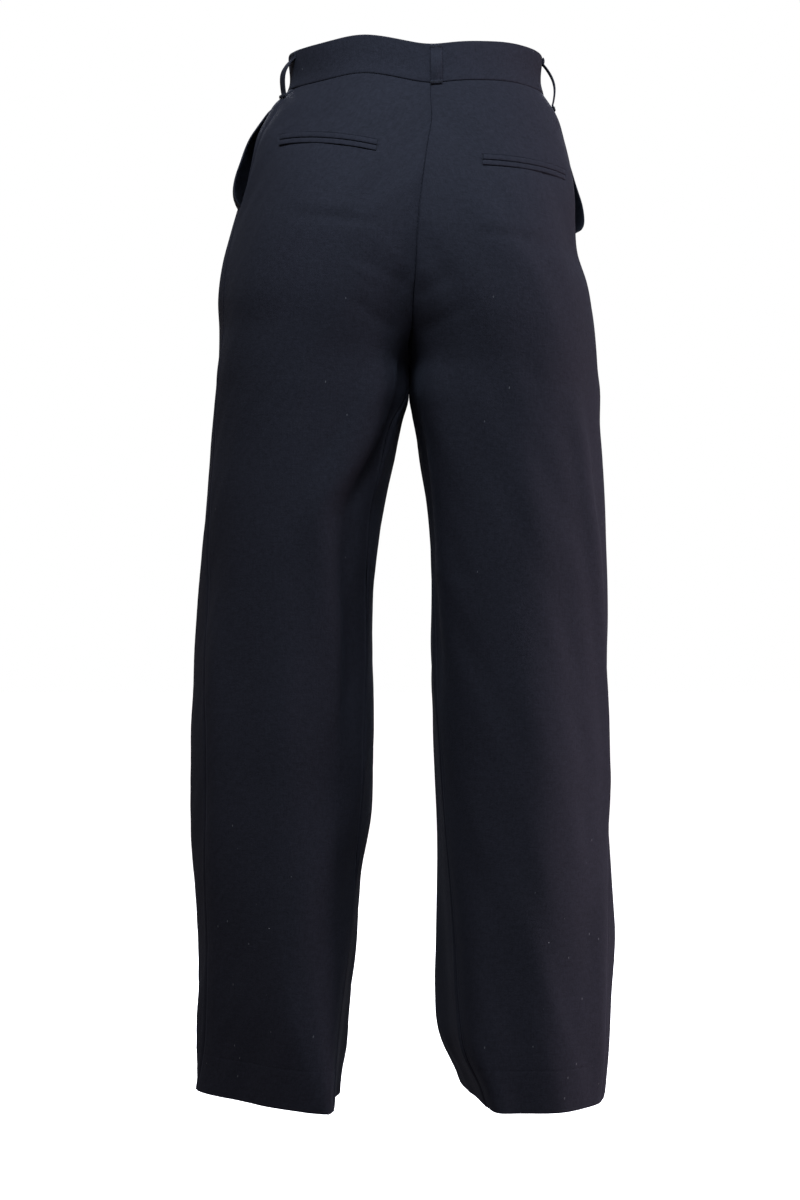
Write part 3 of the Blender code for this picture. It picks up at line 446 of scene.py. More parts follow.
def suiting():
    """Plain crepe-like suiting: a fine twill of uneven yarns, a slight mottle, a few specks of lint, and a
    painted highlight along the legs' seams.
    """
    made, board = finish_named("suiting", (0.014, 0.015, 0.020))
    place = board.add("ShaderNodeUVMap", {"uv_map": "cloth"})
    turn = (0.0, 0.0, math.radians(TWILL_ANGLE))
    slant = board.add("ShaderNodeMapping", {}, {"Vector": place, "Rotation": turn})
    pitch = 0.05 * 2 * math.pi / THREAD_PITCH
    ribs = {"Vector": slant, "Scale": pitch, "Distortion": 1.2, "Detail Scale": 1.5}
    twill = board.add("ShaderNodeTexWave", {"wave_type": "BANDS"}, ribs, "Fac")
    yarns = []
    for stretch in ((1500.0, 70.0, 1.0), (70.0, 1500.0, 1.0)):
        run = board.add("ShaderNodeMapping", {}, {"Vector": place, "Scale": stretch})
        yarns.append(board.add("ShaderNodeTexNoise", {}, {"Vector": run, "Scale": 1.0, "Detail": 3.0}, "Fac"))
    weave = (yarns[0] + yarns[1]) * 0.5
    crepe = board.add("ShaderNodeTexNoise", {}, {"Vector": place, "Scale": 520.0, "Detail": 5.0}, "Fac")
    cloud = board.add("ShaderNodeTexNoise", {}, {"Vector": place, "Scale": 9.0, "Detail": 4.0}, "Fac")
    pebble = board.add("ShaderNodeTexNoise", {}, {"Vector": place, "Scale": 210.0, "Detail": 4.0}, "Fac")
    tone = weave * 1.2 + crepe * 1.1 + pebble * 0.9 + cloud * 0.6 - 1.40
    weft = blend(board, tone, DARK, LIGHT)
    # The pressed attribute holds where the seam highlight is painted; the cloud noise breaks the painted line
    # up
    pressed = board.add("ShaderNodeAttribute", {"attribute_name": "pressed"}, {}, "Fac")
    seam_highlight_mask = pressed * (cloud * 1.8 - 0.35)
    cloth = blend(board, seam_highlight_mask, weft, SEAM_HIGHLIGHT_PAINT)
    speck = board.add("ShaderNodeTexVoronoi", {}, {"Vector": place, "Scale": 30.0}, "Distance")
    chosen = board.add("ShaderNodeTexNoise", {}, {"Vector": place, "Scale": 7.0, "Detail": 1.0}, "Fac")
    fluff = board.add("ShaderNodeMapping", {}, {"Vector": place, "Scale": (90.0, 38.0, 1.0)})
    flock = board.add("ShaderNodeTexVoronoi", {}, {"Vector": fluff, "Scale": 1.0}, "Distance")
    lint = (0.016 - speck > 0.0) * (chosen > 0.60) + (0.045 - flock > 0.0) * (chosen > 0.55) * 0.35
    colour = blend(board, lint, cloth, LINT)
    relief = twill * 0.2 + weave * 0.8 + crepe * 0.8 + pebble * 0.7
    bump = board.add("ShaderNodeBump", {}, {"Height": relief, "Strength": 0.6, "Distance": 0.00040})
    rough = 0.70 + cloud * 0.10 + crepe * 0.12
    shade(
        board,
        {
            "Base Color": colour,
            "Roughness": rough,
            "Normal": bump,
            "Specular IOR Level": 0.04,
            "Sheen Weight": 0.015,
            "Sheen Roughness": 0.45,
            "Sheen Tint": (0.72, 0.78, 1.0, 1.0),
        },
    )
    return made


SUITING = suiting()


def outlet(name, mesh, finish):
    """Links a finished mesh as a piece that rides with the garment."""
    mesh.materials.clear()
    mesh.materials.append(finish)
    mesh.shade_smooth()
    piece = bpy.data.objects.new(name, mesh)
    bpy.context.scene.collection.objects.link(piece)
    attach(piece, "root")
    return piece


def sewn_cloth(name, centre, normals, half, finish, joined=False, straight=0):
    """A closed piece of cloth about a grid of middle points, half as thick each way as half says.
    joined closes the grid's last column on its first one; straight is the column on the straight grain."""
    centre, normals, half = np.array(centre), np.array(normals), np.array(half)
    rows, columns = centre.shape[:2]
    shift = normals * half[..., None]
    points = np.concatenate([(centre + shift).reshape(-1, 3), (centre - shift).reshape(-1, 3)])
    index = np.arange(rows * columns).reshape(rows, columns)
    if joined:
        index = np.concatenate([index, index[:, :1]], axis=1)
    a, b, c, d = index[:-1, :-1], index[1:, :-1], index[1:, 1:], index[:-1, 1:]
    out = np.stack([a, b, c, d], axis=-1).reshape(-1, 4)
    under = out[:, ::-1] + rows * columns
    rims = [index[0], index[-1][::-1]] + ([] if joined else [index[:, -1], index[:, 0][::-1]])
    below = rows * columns
    sides = [np.stack([r[:-1], r[1:], r[1:] + below, r[:-1] + below], axis=-1) for r in rims]
    faces = np.concatenate([out, under] + sides)
    sample = out[len(out) // 2]
    p = points[sample]
    if np.dot(np.cross(p[1] - p[0], p[2] - p[0]), normals.reshape(-1, 3)[sample[0]]) < 0:
        faces = faces[:, ::-1]
    mesh = bpy.data.meshes.new(name)
    mesh.from_pydata(points.tolist(), [], faces.tolist())
    step = np.linalg.norm(np.diff(centre, axis=1), axis=-1)
    across = np.concatenate([np.zeros((rows, 1)), np.cumsum(step, axis=1)], axis=1)
    across = across - across[:, straight : straight + 1 or None]
    step = np.linalg.norm(np.diff(centre, axis=0), axis=-1)
    down = np.concatenate([[0.0], np.cumsum(step[:, straight])])[:, None] + np.zeros((1, columns))
    spread = np.stack([across, -down], axis=-1).reshape(-1, 2)
    spread = np.concatenate([spread, spread])
    corners = np.empty(len(mesh.loops), dtype=np.int32)
    mesh.loops.foreach_get("vertex_index", corners)
    mesh.uv_layers.new(name="cloth").data.foreach_set("uv", spread[corners].astype(np.float32).ravel())
    mesh.validate()
    return outlet(name, mesh, finish)


ROUND_STEPS = np.array([0.0, 0.08, 0.3, 0.65, 1.0])  # across a rounded edge, in half thicknesses
EDGE_STEPS = np.array([0.0016, 0.0032])  # and on from it, in metres


def edged(first, last, count, half=CLOTH / 2):
    """Places from first to last, closer together at both ends."""
    near = np.concatenate([ROUND_STEPS * half, EDGE_STEPS])
    inner = np.linspace(near[-1], abs(last - first) - near[-1], count)[1:-1]
    return first + np.sign(last - first) * np.concatenate([near, inner, abs(last - first) - near[::-1]])


def rounding(distance, half):
    """How much of its thickness a piece has at a distance from its edge."""
    t = np.clip(distance / half, 0.0, 1.0)
    return np.maximum(np.sqrt(1 - (1 - t) ** 2), 0.10)


SEAM_GAP = 0.00004
SEAM_DIP, SEAM_DIP_WIDTH = 0.0006, 0.0022  # where a seam draws the cloth in
CURL, CURL_WIDTH = 0.0004, 0.008
RIDGE, RIDGE_AWAY, RIDGE_WIDTH = 0.0008, 0.0030, 0.0015  # the pressed edge beside a seam of the legs


WAVES, WAVELENGTHS, WAVE_HEIGHT = 36, (0.022, 0.13), 0.00011
PANEL_WAVES = 11  # the seed that a leg's waves start from


def undulation(seed, across, down):
    """The uneven surface of worn cloth, from long shallow waves."""
    rng = np.random.default_rng(seed)
    total = np.zeros(np.broadcast(across, down).shape)
    for _ in range(WAVES):
        wavelength = rng.uniform(*WAVELENGTHS)
        slant, stretch = rng.uniform(-0.9, 0.9), rng.uniform(2.0, 5.0)
        phase = rng.uniform(0, 2 * math.pi)
        wave = (across + slant * down / stretch) / wavelength + down / (wavelength * stretch)
        total += WAVE_HEIGHT * (wavelength / 0.06) * np.sin(2 * math.pi * wave + phase)
    return total


# Creases of the back, each from one point to another across the cloth, in millimetres
Crease = namedtuple("Crease", "x1 z1 x2 z2 width height")
CREASES = [
    Crease(120, -152, 88, -156, 7, -0.8),
    Crease(88, -156, 42, -163, 6, -1.1),
    Crease(112, -141, 60, -147, 10, 0.9),
    Crease(-62, -172, -100, -176, 6, -1.0),
    Crease(-100, -176, -132, -184, 7, -0.9),
    Crease(-66, -162, -120, -168, 10, 0.8),
    Crease(50, -98, 58, -117, 2.6, -0.45),
    Crease(43, -104, 50, -122, 2.6, 0.40),
    Crease(34, -112, 44, -134, 3.0, -0.35),
    Crease(62, -196, 42, -206, 2.6, -0.40),
    Crease(66, -202, 48, -214, 2.6, 0.35),
    Crease(10, -222, 52, -196, 6, -0.8),
    Crease(6, -205, 40, -178, 7, 0.6),
    Crease(-2, -230, -34, -212, 6, -0.8),
    Crease(-2, -214, -30, -190, 7, 0.6),
    Crease(24, -262, 62, -236, 7, -0.9),
    Crease(-8, -262, -52, -240, 7, -0.9),
    Crease(140, -60, 116, -46, 5, -0.7),
    Crease(-112, -62, -140, -84, 5, -0.7),
]


def creased(points):
    x, z = points[..., 0] / MM, points[..., 2] / MM
    total = np.zeros(x.shape)
    for c in CREASES:
        run = math.hypot(c.x2 - c.x1, c.z2 - c.z1)
        ux, uz = (c.x2 - c.x1) / run, (c.z2 - c.z1) / run
        along = ((x - c.x1) * ux + (z - c.z1) * uz) / run
        off = (x - c.x1) * uz - (z - c.z1) * ux
        fade = ease((along + 0.25) / 0.45) * ease((1.25 - along) / 0.45)
        total += c.height * MM * fade * np.exp(-((off / c.width) ** 2))
    return total


# Back pocket: where its two welts lie, from the centre back seam and along the cloth
WELT_LEVEL = {LEFT: -0.0905, RIGHT: -0.0925}
WELT_START = {LEFT: 0.048, RIGHT: 0.055}
WELT_LENGTH, WELT_HEIGHT, WELT_SLOT, WELT_RISE = 0.104, 0.0051, 0.0008, 0.0015
WELT_ARCH = {LEFT: 0.0030, RIGHT: 0.0022}
WELT_INSET, WELT_MOUTH = 0.0009, 0.0016  # how far the cloth sinks round and behind them
WELT_ROOM, WELT_PULL, WELT_PULL_WIDTH = 0.0004, 0.0002, 0.004  # beside them, where the cloth is drawn in
WELT_END_ROOM, WELT_END_SLOPE = 0.0016, 0.0012


def welt_rise(side, along):
    share = np.clip(along / WELT_LENGTH, -0.03, 1.03)
    return WELT_RISE * share + 4 * WELT_ARCH[side] * share * (1 - share)


def welt_inset(side, level, arcs):
    """The cloth sinks where the pocket is let into it, and once more behind its mouth."""
    along = arcs - ring(side, level).start - WELT_START[side]
    up = level - WELT_LEVEL[side] - welt_rise(side, along)
    half = WELT_SLOT / 2 + WELT_HEIGHT + WELT_ROOM
    ends = ease((along + WELT_END_ROOM) / WELT_END_SLOPE)
    ends = ends * ease((WELT_LENGTH + WELT_END_ROOM - along) / WELT_END_SLOPE)
    inset = ease((half + 0.0005 - np.abs(up)) / 0.0006)
    mouth = ease((0.0016 - np.abs(up)) / 0.0010)
    pull = np.exp(-(((np.abs(up) - half) / WELT_PULL_WIDTH) ** 2)) * WELT_PULL
    return -(WELT_INSET * inset + WELT_MOUTH * mouth + pull) * ends


def steps_between(marks, steps):
    levels = [marks[0]]
    for top, bottom, size in zip(marks, marks[1:], steps):
        levels += list(np.linspace(top, bottom, max(2, round((top - bottom) / size) + 1))[1:])
    return levels


def panel_levels(side, back):
    pocket = WELT_LEVEL[side]
    above_hem, below_hem = HEM + HEM_DEPTH + 0.002, HEM + HEM_DEPTH - 0.002
    marks = [WAIST_SEAM, -0.040, pocket + 0.0120, pocket - 0.0085, -0.30, -0.62, above_hem]
    sizes = [0.003, 0.003, 0.00045 if back else 0.003, 0.0032, 0.0045, 0.0055]
    levels = steps_between(marks, sizes)
    last = steps_between([above_hem, below_hem, HEM + 0.005], [0.0006, 0.004])
    near = ROUND_STEPS[::-1] * CLOTH
    levels += last[1:] + list(HEM + np.array([0.0035, 0.0022])) + list(HEM + near)
    top = list(WAIST_SEAM - ROUND_STEPS * CLOTH / 2)
    return top + [lv for lv in levels if lv < top[-1] - 0.0004]


PANEL_COLUMNS = 84
MIDDLE_CURL = 0.3  # the curl beside the centre seams, against that of the other seams
SQUARE_IN = 0.010  # from a centre seam, where the cloth's outside turns away from it
# The middle value is the level where the painted seam highlight begins down the legs; the next line gives the
# front panels' share of that painted highlight
RIDGE_FROM, HIGHLIGHT_START, SEAM_FADE_IN = -0.16, -0.20, 0.05
FRONT_HIGHLIGHT_SHARE = 0.15
FORK, FORK_REACH, FORK_WIDTH, FORK_CALM = -0.300, 0.020, 0.030, 0.75  # little relief in the narrow fork
HEM_FOLD, HEM_LINE, HEM_LINE_WIDTH = 0.0012, 0.00018, 0.0012
HEM_LAYERS = 1.05  # what the turned-up hem adds, in cloths


def leg_panel(side, back):
    """One panel: its relief stands off the section's line, and its cloth lies inside that."""
    levels = panel_levels(side, back)
    centre, normals, halves, seam_highlight_rows = [], [], [], []
    for level in levels:
        r = ring(side, level)
        first = r.start if back else r.outseam + mouth_ahead(level)
        last = r.outseam if back else r.end
        arcs = edged(first + SEAM_GAP, last - SEAM_GAP, PANEL_COLUMNS)
        normal = outward(side, level, arcs)
        from_first, from_last = arcs - first, last - arcs
        from_outseam = from_last if back else from_first
        if level > CROTCH:
            to_middle = from_first if back else from_last
            square = ease(to_middle / SQUARE_IN)
            across = np.where(side * normal[:, 0] > 0, normal[:, 0] * square, normal[:, 0])
            normal = np.stack([across, normal[:, 1], normal[:, 2]], axis=-1)
            normal /= np.linalg.norm(normal, axis=-1, keepdims=True)
        points = cloth_line(side, level, arcs)
        lift = undulation(PANEL_WAVES + side, arcs - r.outseam, level) * ease((WAIST_SEAM - level) / 0.03)
        dips = []
        for distance, seam in ((from_first, back or level < MOUTH_END), (from_last, True)):
            if seam:
                dips.append(SEAM_DIP * np.exp(-((distance / SEAM_DIP_WIDTH) ** 2)))
                centre_seam = level > CROTCH and distance is not from_outseam
                curl = CURL * (MIDDLE_CURL if centre_seam else 1.0)
                dips.append(curl * np.exp(-((distance / CURL_WIDTH) ** 2)))
                pressed = 0.0 if centre_seam else RIDGE * float(ease((RIDGE_FROM - level) / SEAM_FADE_IN))
                dips.append(-pressed * np.exp(-(((distance - RIDGE_AWAY) / RIDGE_WIDTH) ** 2)))
        inner = np.exp(-(((from_first if back else from_last) / FORK_WIDTH) ** 2))
        # Painted highlight: a lighter line beside the outseam, and below the crotch beside the inseam, where
        # the pressed ridge catches light; fainter on the front panels
        legs = float(ease((HIGHLIGHT_START - level) / SEAM_FADE_IN))
        edges = [from_outseam] + ([from_first if back else from_last] if level < CROTCH else [])
        seam_highlight_here = sum(legs * np.exp(-(((d - RIDGE_AWAY) / RIDGE_WIDTH) ** 2)) for d in edges)
        seam_highlight_rows.append(seam_highlight_here if back else seam_highlight_here * FRONT_HIGHLIGHT_SHARE)
        calm = FORK_CALM * (1 - ease(np.abs(level - FORK) / FORK_REACH)) * inner
        lift = (lift - sum(dips)) * (1 - calm)
        lift = lift - SEAM_DIP * math.exp(-(((WAIST_SEAM - level) / SEAM_DIP_WIDTH) ** 2))
        if back:
            lift = lift + creased(points) + welt_inset(side, level, arcs)
        else:
            lift = lift + gape(side, level, arcs - r.outseam)
        turned = ease((HEM + HEM_DEPTH - level) / HEM_FOLD)
        thick = CLOTH * (1 + turned * HEM_LAYERS)
        half = thick / 2 * rounding(np.minimum(from_first, from_last) - SEAM_GAP, CLOTH / 2)
        half = half * rounding(WAIST_SEAM - level, CLOTH / 2) * rounding(level - HEM, CLOTH)
        hem_line = HEM_LINE * math.exp(-(((level - HEM - HEM_DEPTH) / HEM_LINE_WIDTH) ** 2))
        centre.append(points + (lift - hem_line - thick / 2)[:, None] * normal)
        normals.append(normal)
        halves.append(half)
    name = f"{'back' if back else 'front'}_panel_{SIDES[side]}"
    piece = sewn_cloth(name, centre, normals, halves, SUITING, straight=-1 if back else 0)
    # These values are the painted seam highlight, stored as the pressed attribute for the suiting to read
    worn = np.tile(np.array(seam_highlight_rows).ravel(), 2).astype(np.float32)
    piece.data.attributes.new("pressed", "FLOAT", "POINT").data.foreach_set("value", worn)
    return piece


PANELS = {(side, back): leg_panel(side, back) for side in (LEFT, RIGHT) for back in (True, False)}
# The CAD model's hip, thigh and shin pieces of each panel are hidden
for (side, back), piece in PANELS.items():
    lengths = [f"{'back' if back else 'front'}_{SIDES[side]}_{length}" for length in ("hip", "thigh", "shin")]
    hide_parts(*lengths)

# ---------------------------------------------------------------- hip facings
# A piece of the suiting fills each slanted side pocket's mouth, sewn into the outseam and the waistband.
# It lies level with the back panel and runs on under the front panel, which stands off it.
FACING_AHEAD, FACING_END = 0.045, -0.215
FACING_DIP, FACING_DIP_LENGTH = CLOTH + 0.0014, 0.005


def hip_facing(side):
    levels = steps_between([WAIST_SEAM - 0.0002, -0.040, FACING_END], [0.003, 0.0035])
    centre, normals, halves = [], [], []
    for level in levels:
        mouth = mouth_ahead(level)
        ahead = edged(SEAM_GAP, mouth + FACING_AHEAD, 30)
        arcs = ring(side, level).outseam + ahead
        normal = outward(side, level, arcs)
        dip = -FACING_DIP * ease((ahead - mouth) / FACING_DIP_LENGTH + 1.2)
        dip = dip - (SEAM_DIP + CURL) * np.exp(-((ahead / SEAM_DIP_WIDTH) ** 2)) * (mouth > 0.002)
        edge = np.minimum(np.minimum(ahead - SEAM_GAP, mouth + FACING_AHEAD - ahead), level - FACING_END)
        centre.append(cloth_line(side, level, arcs) + (dip - CLOTH / 2)[:, None] * normal)
        normals.append(normal)
        halves.append(CLOTH / 2 * rounding(edge, CLOTH / 2))
    name = f"hip_facing_{SIDES[side]}"
    return sewn_cloth(name, centre, normals, halves, SUITING)


FACINGS = {side: hip_facing(side) for side in (LEFT, RIGHT)}
for side, piece in FACINGS.items():
    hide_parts(f"facing_{SIDES[side]}")

# ---------------------------------------------------------------- back pockets
# Each is a slot in the back panel, finished with two narrow folded welts of the suiting that meet lip
# to lip. They are let into the cloth, and both ends are stitched down.
WELT_THICKNESS = 0.0012
WELT_SINK = 0.0006  # how far they lie in the inset
WELT_LIP, WELT_LIP_WIDTH, WELT_SWELL = 0.00025, 0.0010, 0.00025
WELT_PUCKERS = (0.00007, 61.0), (0.00005, 133.0)  # height, and how many radians of it a welt has
FINE = 0.00005  # levels are read in these steps


def welt(side, upper):
    low, high = WELT_SLOT / 2, WELT_SLOT / 2 + WELT_HEIGHT
    ups = edged(low, high, 8, WELT_THICKNESS / 2) * (1 if upper else -1)
    shares = edged(0.0, WELT_LENGTH, 70, WELT_THICKNESS / 2) / WELT_LENGTH
    centre, normals, halves = [], [], []
    for up in sorted(ups, reverse=True):
        row, out, half = [], [], []
        for share in shares:
            rise = float(welt_rise(side, WELT_LENGTH * share))
            level = round((WELT_LEVEL[side] + rise + up) / FINE) * FINE
            arcs = np.array([ring(side, level).start + WELT_START[side] + WELT_LENGTH * share])
            normal = outward(side, level, arcs)[0]
            lip = WELT_LIP * math.exp(-(((abs(up) - low) / WELT_LIP_WIDTH) ** 2)) * (1.0 if upper else 0.6)
            swell = WELT_SWELL * math.sin(math.pi * (abs(up) - low) / WELT_HEIGHT)
            (tall, often), (short, oftener) = WELT_PUCKERS
            puckers = tall * math.sin(share * often + side) + short * math.sin(share * oftener)
            lift = swell - lip + puckers * (1 + side * 0.2) - WELT_SINK
            edge = min(abs(up) - low, high - abs(up), share * WELT_LENGTH, (1 - share) * WELT_LENGTH)
            row.append(cloth_line(side, level, arcs)[0] + (lift + WELT_THICKNESS / 2) * normal)
            out.append(normal)
            half.append(WELT_THICKNESS / 2 * float(rounding(edge, WELT_THICKNESS / 2)))
        centre.append(row)
        normals.append(out)
        halves.append(half)
    name = f"pocket_welt_{'upper' if upper else 'lower'}_{SIDES[side]}"
    return sewn_cloth(name, centre, normals, halves, SUITING)


WELTS = {side: [welt(side, True), welt(side, False)] for side in (LEFT, RIGHT)}
for side, pair in WELTS.items():
    for piece, place in zip(pair, ("upper", "lower")):
        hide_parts(f"welt_{place}_{SIDES[side]}")

# ---------------------------------------------------------------- seams inside
# The cloth that each seam takes up is pressed open flat inside, 11 mm to each side, and overlocked. It
# runs down the centre back, the outseams and the inseams as far as the turned-up hem.
ALLOWANCE, ALLOWANCE_THICKNESS, ALLOWANCE_BELOW = 0.011, 0.0009, CLOTH + 0.0003


def seam_inside(name, levels, half_row):
    """half_row gives for a level the two halves of the strip, each (side, arcs) from its edge inwards."""
    centre, normals, halves = [], [], []
    for level in levels:
        row, out = [], []
        for side, arcs in half_row(level):
            row.append(cloth_line(side, level, arcs))
            out.append(outward(side, level, arcs))
        points, normal = np.concatenate(row), np.concatenate(out)
        middle_at = len(row[0])  # where the two halves meet, with one normal
        joint = normal[middle_at - 1] + normal[middle_at]
        normal[middle_at - 1] = normal[middle_at] = joint / np.linalg.norm(joint)
        across = run_along(points)
        edge = np.minimum(np.minimum(across, across[-1] - across), min(level - levels[-1], levels[0] - level))
        below = ALLOWANCE_BELOW + SEAM_DIP + CURL + ALLOWANCE_THICKNESS / 2
        centre.append(points - below * normal)
        normals.append(normal)
        halves.append(ALLOWANCE_THICKNESS / 2 * rounding(edge, ALLOWANCE_THICKNESS / 2))
    return sewn_cloth(name, centre, normals, halves, SUITING)


def inwards(count=7):
    half = ALLOWANCE_THICKNESS / 2
    return np.concatenate([[0.0, half * 0.3, half], np.linspace(0.002, ALLOWANCE - 0.0002, count)])


def middle_halves(back):
    def half_row(level):
        steps = ALLOWANCE - inwards()
        left, right = ring(LEFT, level), ring(RIGHT, level)
        if back:
            return [(LEFT, left.start + steps), (RIGHT, right.start + steps[::-1])]
        return [(LEFT, left.end - steps), (RIGHT, right.end - steps[::-1])]

    return half_row


def side_halves(side, outer):
    def half_row(level):
        steps = ALLOWANCE - inwards()
        at = ring(side, level).outseam if outer else ring(side, level).start
        return [(side, at - steps), (side, at + steps[::-1])]

    return half_row


# Where each strip begins and ends; those of the legs run into the hem
HEM_EDGE = HEM + HEM_DEPTH + 0.002
CENTRE_SEAMS_END, FRONT_SEAM_START, INSEAM_START = -0.262, -0.190, -0.335
CENTRE_STEP, LEG_STEP = 0.006, 0.008
for name, start, back in (("back", WAIST_SEAM - 0.001, True), ("front", FRONT_SEAM_START, False)):
    levels = steps_between([start, CENTRE_SEAMS_END], [CENTRE_STEP])
    seam_inside(f"seam_inside_{name}", levels, middle_halves(back))
for side in (LEFT, RIGHT):
    for name, start, outer in (("outer", MOUTH_END - 0.006, True), ("inner", INSEAM_START, False)):
        levels = steps_between([start, HEM_EDGE], [LEG_STEP])
        seam_inside(f"seam_inside_{name}_{SIDES[side]}", levels, side_halves(side, outer))


WAIST_ALLOWANCE_BELOW = 0.0032


def waist_inside():
    """The waist seam's allowance, pressed up behind the band."""
    levels = steps_between([WAIST_SEAM + 0.009, WAIST_SEAM - 0.003], [0.0015])
    centre, normals, halves = [], [], []
    for level in levels:
        left, right = ring(LEFT, level), ring(RIGHT, level)
        left_run, right_run = np.linspace(left.end, left.start, 90), np.linspace(right.start, right.end, 90)
        runs = [(LEFT, left_run), (RIGHT, right_run)]
        points = np.concatenate([cloth_line(side, level, arcs) for side, arcs in runs])
        normal = np.concatenate([outward(side, level, arcs) for side, arcs in runs])
        centre.append(points - WAIST_ALLOWANCE_BELOW * normal)
        normals.append(normal)
        edge = min(level - levels[-1], levels[0] - level)
        half = ALLOWANCE_THICKNESS / 2
        halves.append(np.full(len(points), half * float(rounding(edge, half))))
    return sewn_cloth("seam_inside_waist", centre, normals, halves, SUITING, joined=True)


waist_inside()

# ---------------------------------------------------------------- waistband
# A straight band, 38 mm high, of suiting folded over an interfacing and sewn to the top of the panels.
# Its right end laps over the left end at the centre front and buttons there.
BAND_HEIGHT, BAND_THICKNESS, BAND_PROUD = 0.038, 0.0024, 0.0005
BAND_UNDERLAP, BAND_OVERLAP, BAND_RAMP = 0.030, 0.014, 0.050
LAP_GAP = 0.0003


def band_lift(side, from_end):
    if side == LEFT:
        return BAND_PROUD + 0.0 * from_end
    climb = ease((BAND_RAMP + BAND_UNDERLAP - from_end) / BAND_RAMP)
    return BAND_PROUD + (BAND_THICKNESS + LAP_GAP) * climb


def band_runs(level):
    """The band's stretches at a level, from its left end to its right one: (side, arcs, lift)."""
    left, right = ring(LEFT, level), ring(RIGHT, level)
    half = BAND_THICKNESS / 2
    tip = np.concatenate([ROUND_STEPS * half, EDGE_STEPS])
    on = np.linspace(0.006, BAND_UNDERLAP - 0.004, 7)
    under = right.end - BAND_UNDERLAP + np.concatenate([tip, on])
    over = (left.end - BAND_OVERLAP + tip)[::-1]
    left_run = np.linspace(left.end, left.start, 110)
    right_run = np.linspace(right.start, right.end, 110)[1:]
    top_lift = BAND_PROUD + BAND_THICKNESS + LAP_GAP
    return [
        (RIGHT, under, BAND_PROUD + 0.0 * under),
        (LEFT, left_run, band_lift(LEFT, left.end - left_run)),
        (RIGHT, right_run, band_lift(RIGHT, right.end - right_run)),
        (LEFT, over, top_lift + 0.0 * over),
    ]


def waistband():
    low = WAIST_SEAM + 0.0002
    levels = edged(low + BAND_HEIGHT, low, 16, BAND_THICKNESS / 2)
    centre, normals, halves = [], [], []
    for level in levels:
        points, normal, lift = [], [], []
        for side, arcs, lifted in band_runs(level):
            points.append(cloth_line(side, level, arcs))
            normal.append(outward(side, level, arcs))
            lift.append(lifted)
        points, normal, lift = np.concatenate(points), np.concatenate(normal), np.concatenate(lift)
        across = run_along(points)
        soft = undulation(5, across, level) * 0.5
        seam = SEAM_DIP * math.exp(-(((level - low) / SEAM_DIP_WIDTH) ** 2))
        up = min(level - low, low + BAND_HEIGHT - level)
        edge = np.minimum(np.minimum(across, across[-1] - across), up)
        centre.append(points + (lift + soft - seam - BAND_THICKNESS / 2)[:, None] * normal)
        normals.append(normal)
        halves.append(BAND_THICKNESS / 2 * rounding(edge, BAND_THICKNESS / 2))
    return sewn_cloth("waistband_shell", centre, normals, halves, SUITING)


BAND = waistband()
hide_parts("waistband")

# ---------------------------------------------------------------- stitching thread
# Black polyester thread, about a third of a millimetre thick. A row of stitches follows a line on the
# cloth, and each stitch lies the way that the line's own direction attribute says.
THREAD_RADIUS = 0.00016


def thread_finish():
    made, board = finish_named("thread", (0.010, 0.010, 0.012))
    place = board.add("ShaderNodeTexCoord", {}, {}, "Object")
    ply = board.add("ShaderNodeTexNoise", {}, {"Vector": place, "Scale": 2600.0, "Detail": 3.0}, "Fac")
    colour = blend(board, ply, (0.003, 0.003, 0.004), (0.010, 0.010, 0.012))
    bump = board.add("ShaderNodeBump", {}, {"Height": ply, "Strength": 0.4, "Distance": 0.0001})
    shade(
        board,
        {"Base Color": colour, "Roughness": 0.50 + ply * 0.2, "Normal": bump, "Specular IOR Level": 0.15},
    )
    return made


THREAD = thread_finish()


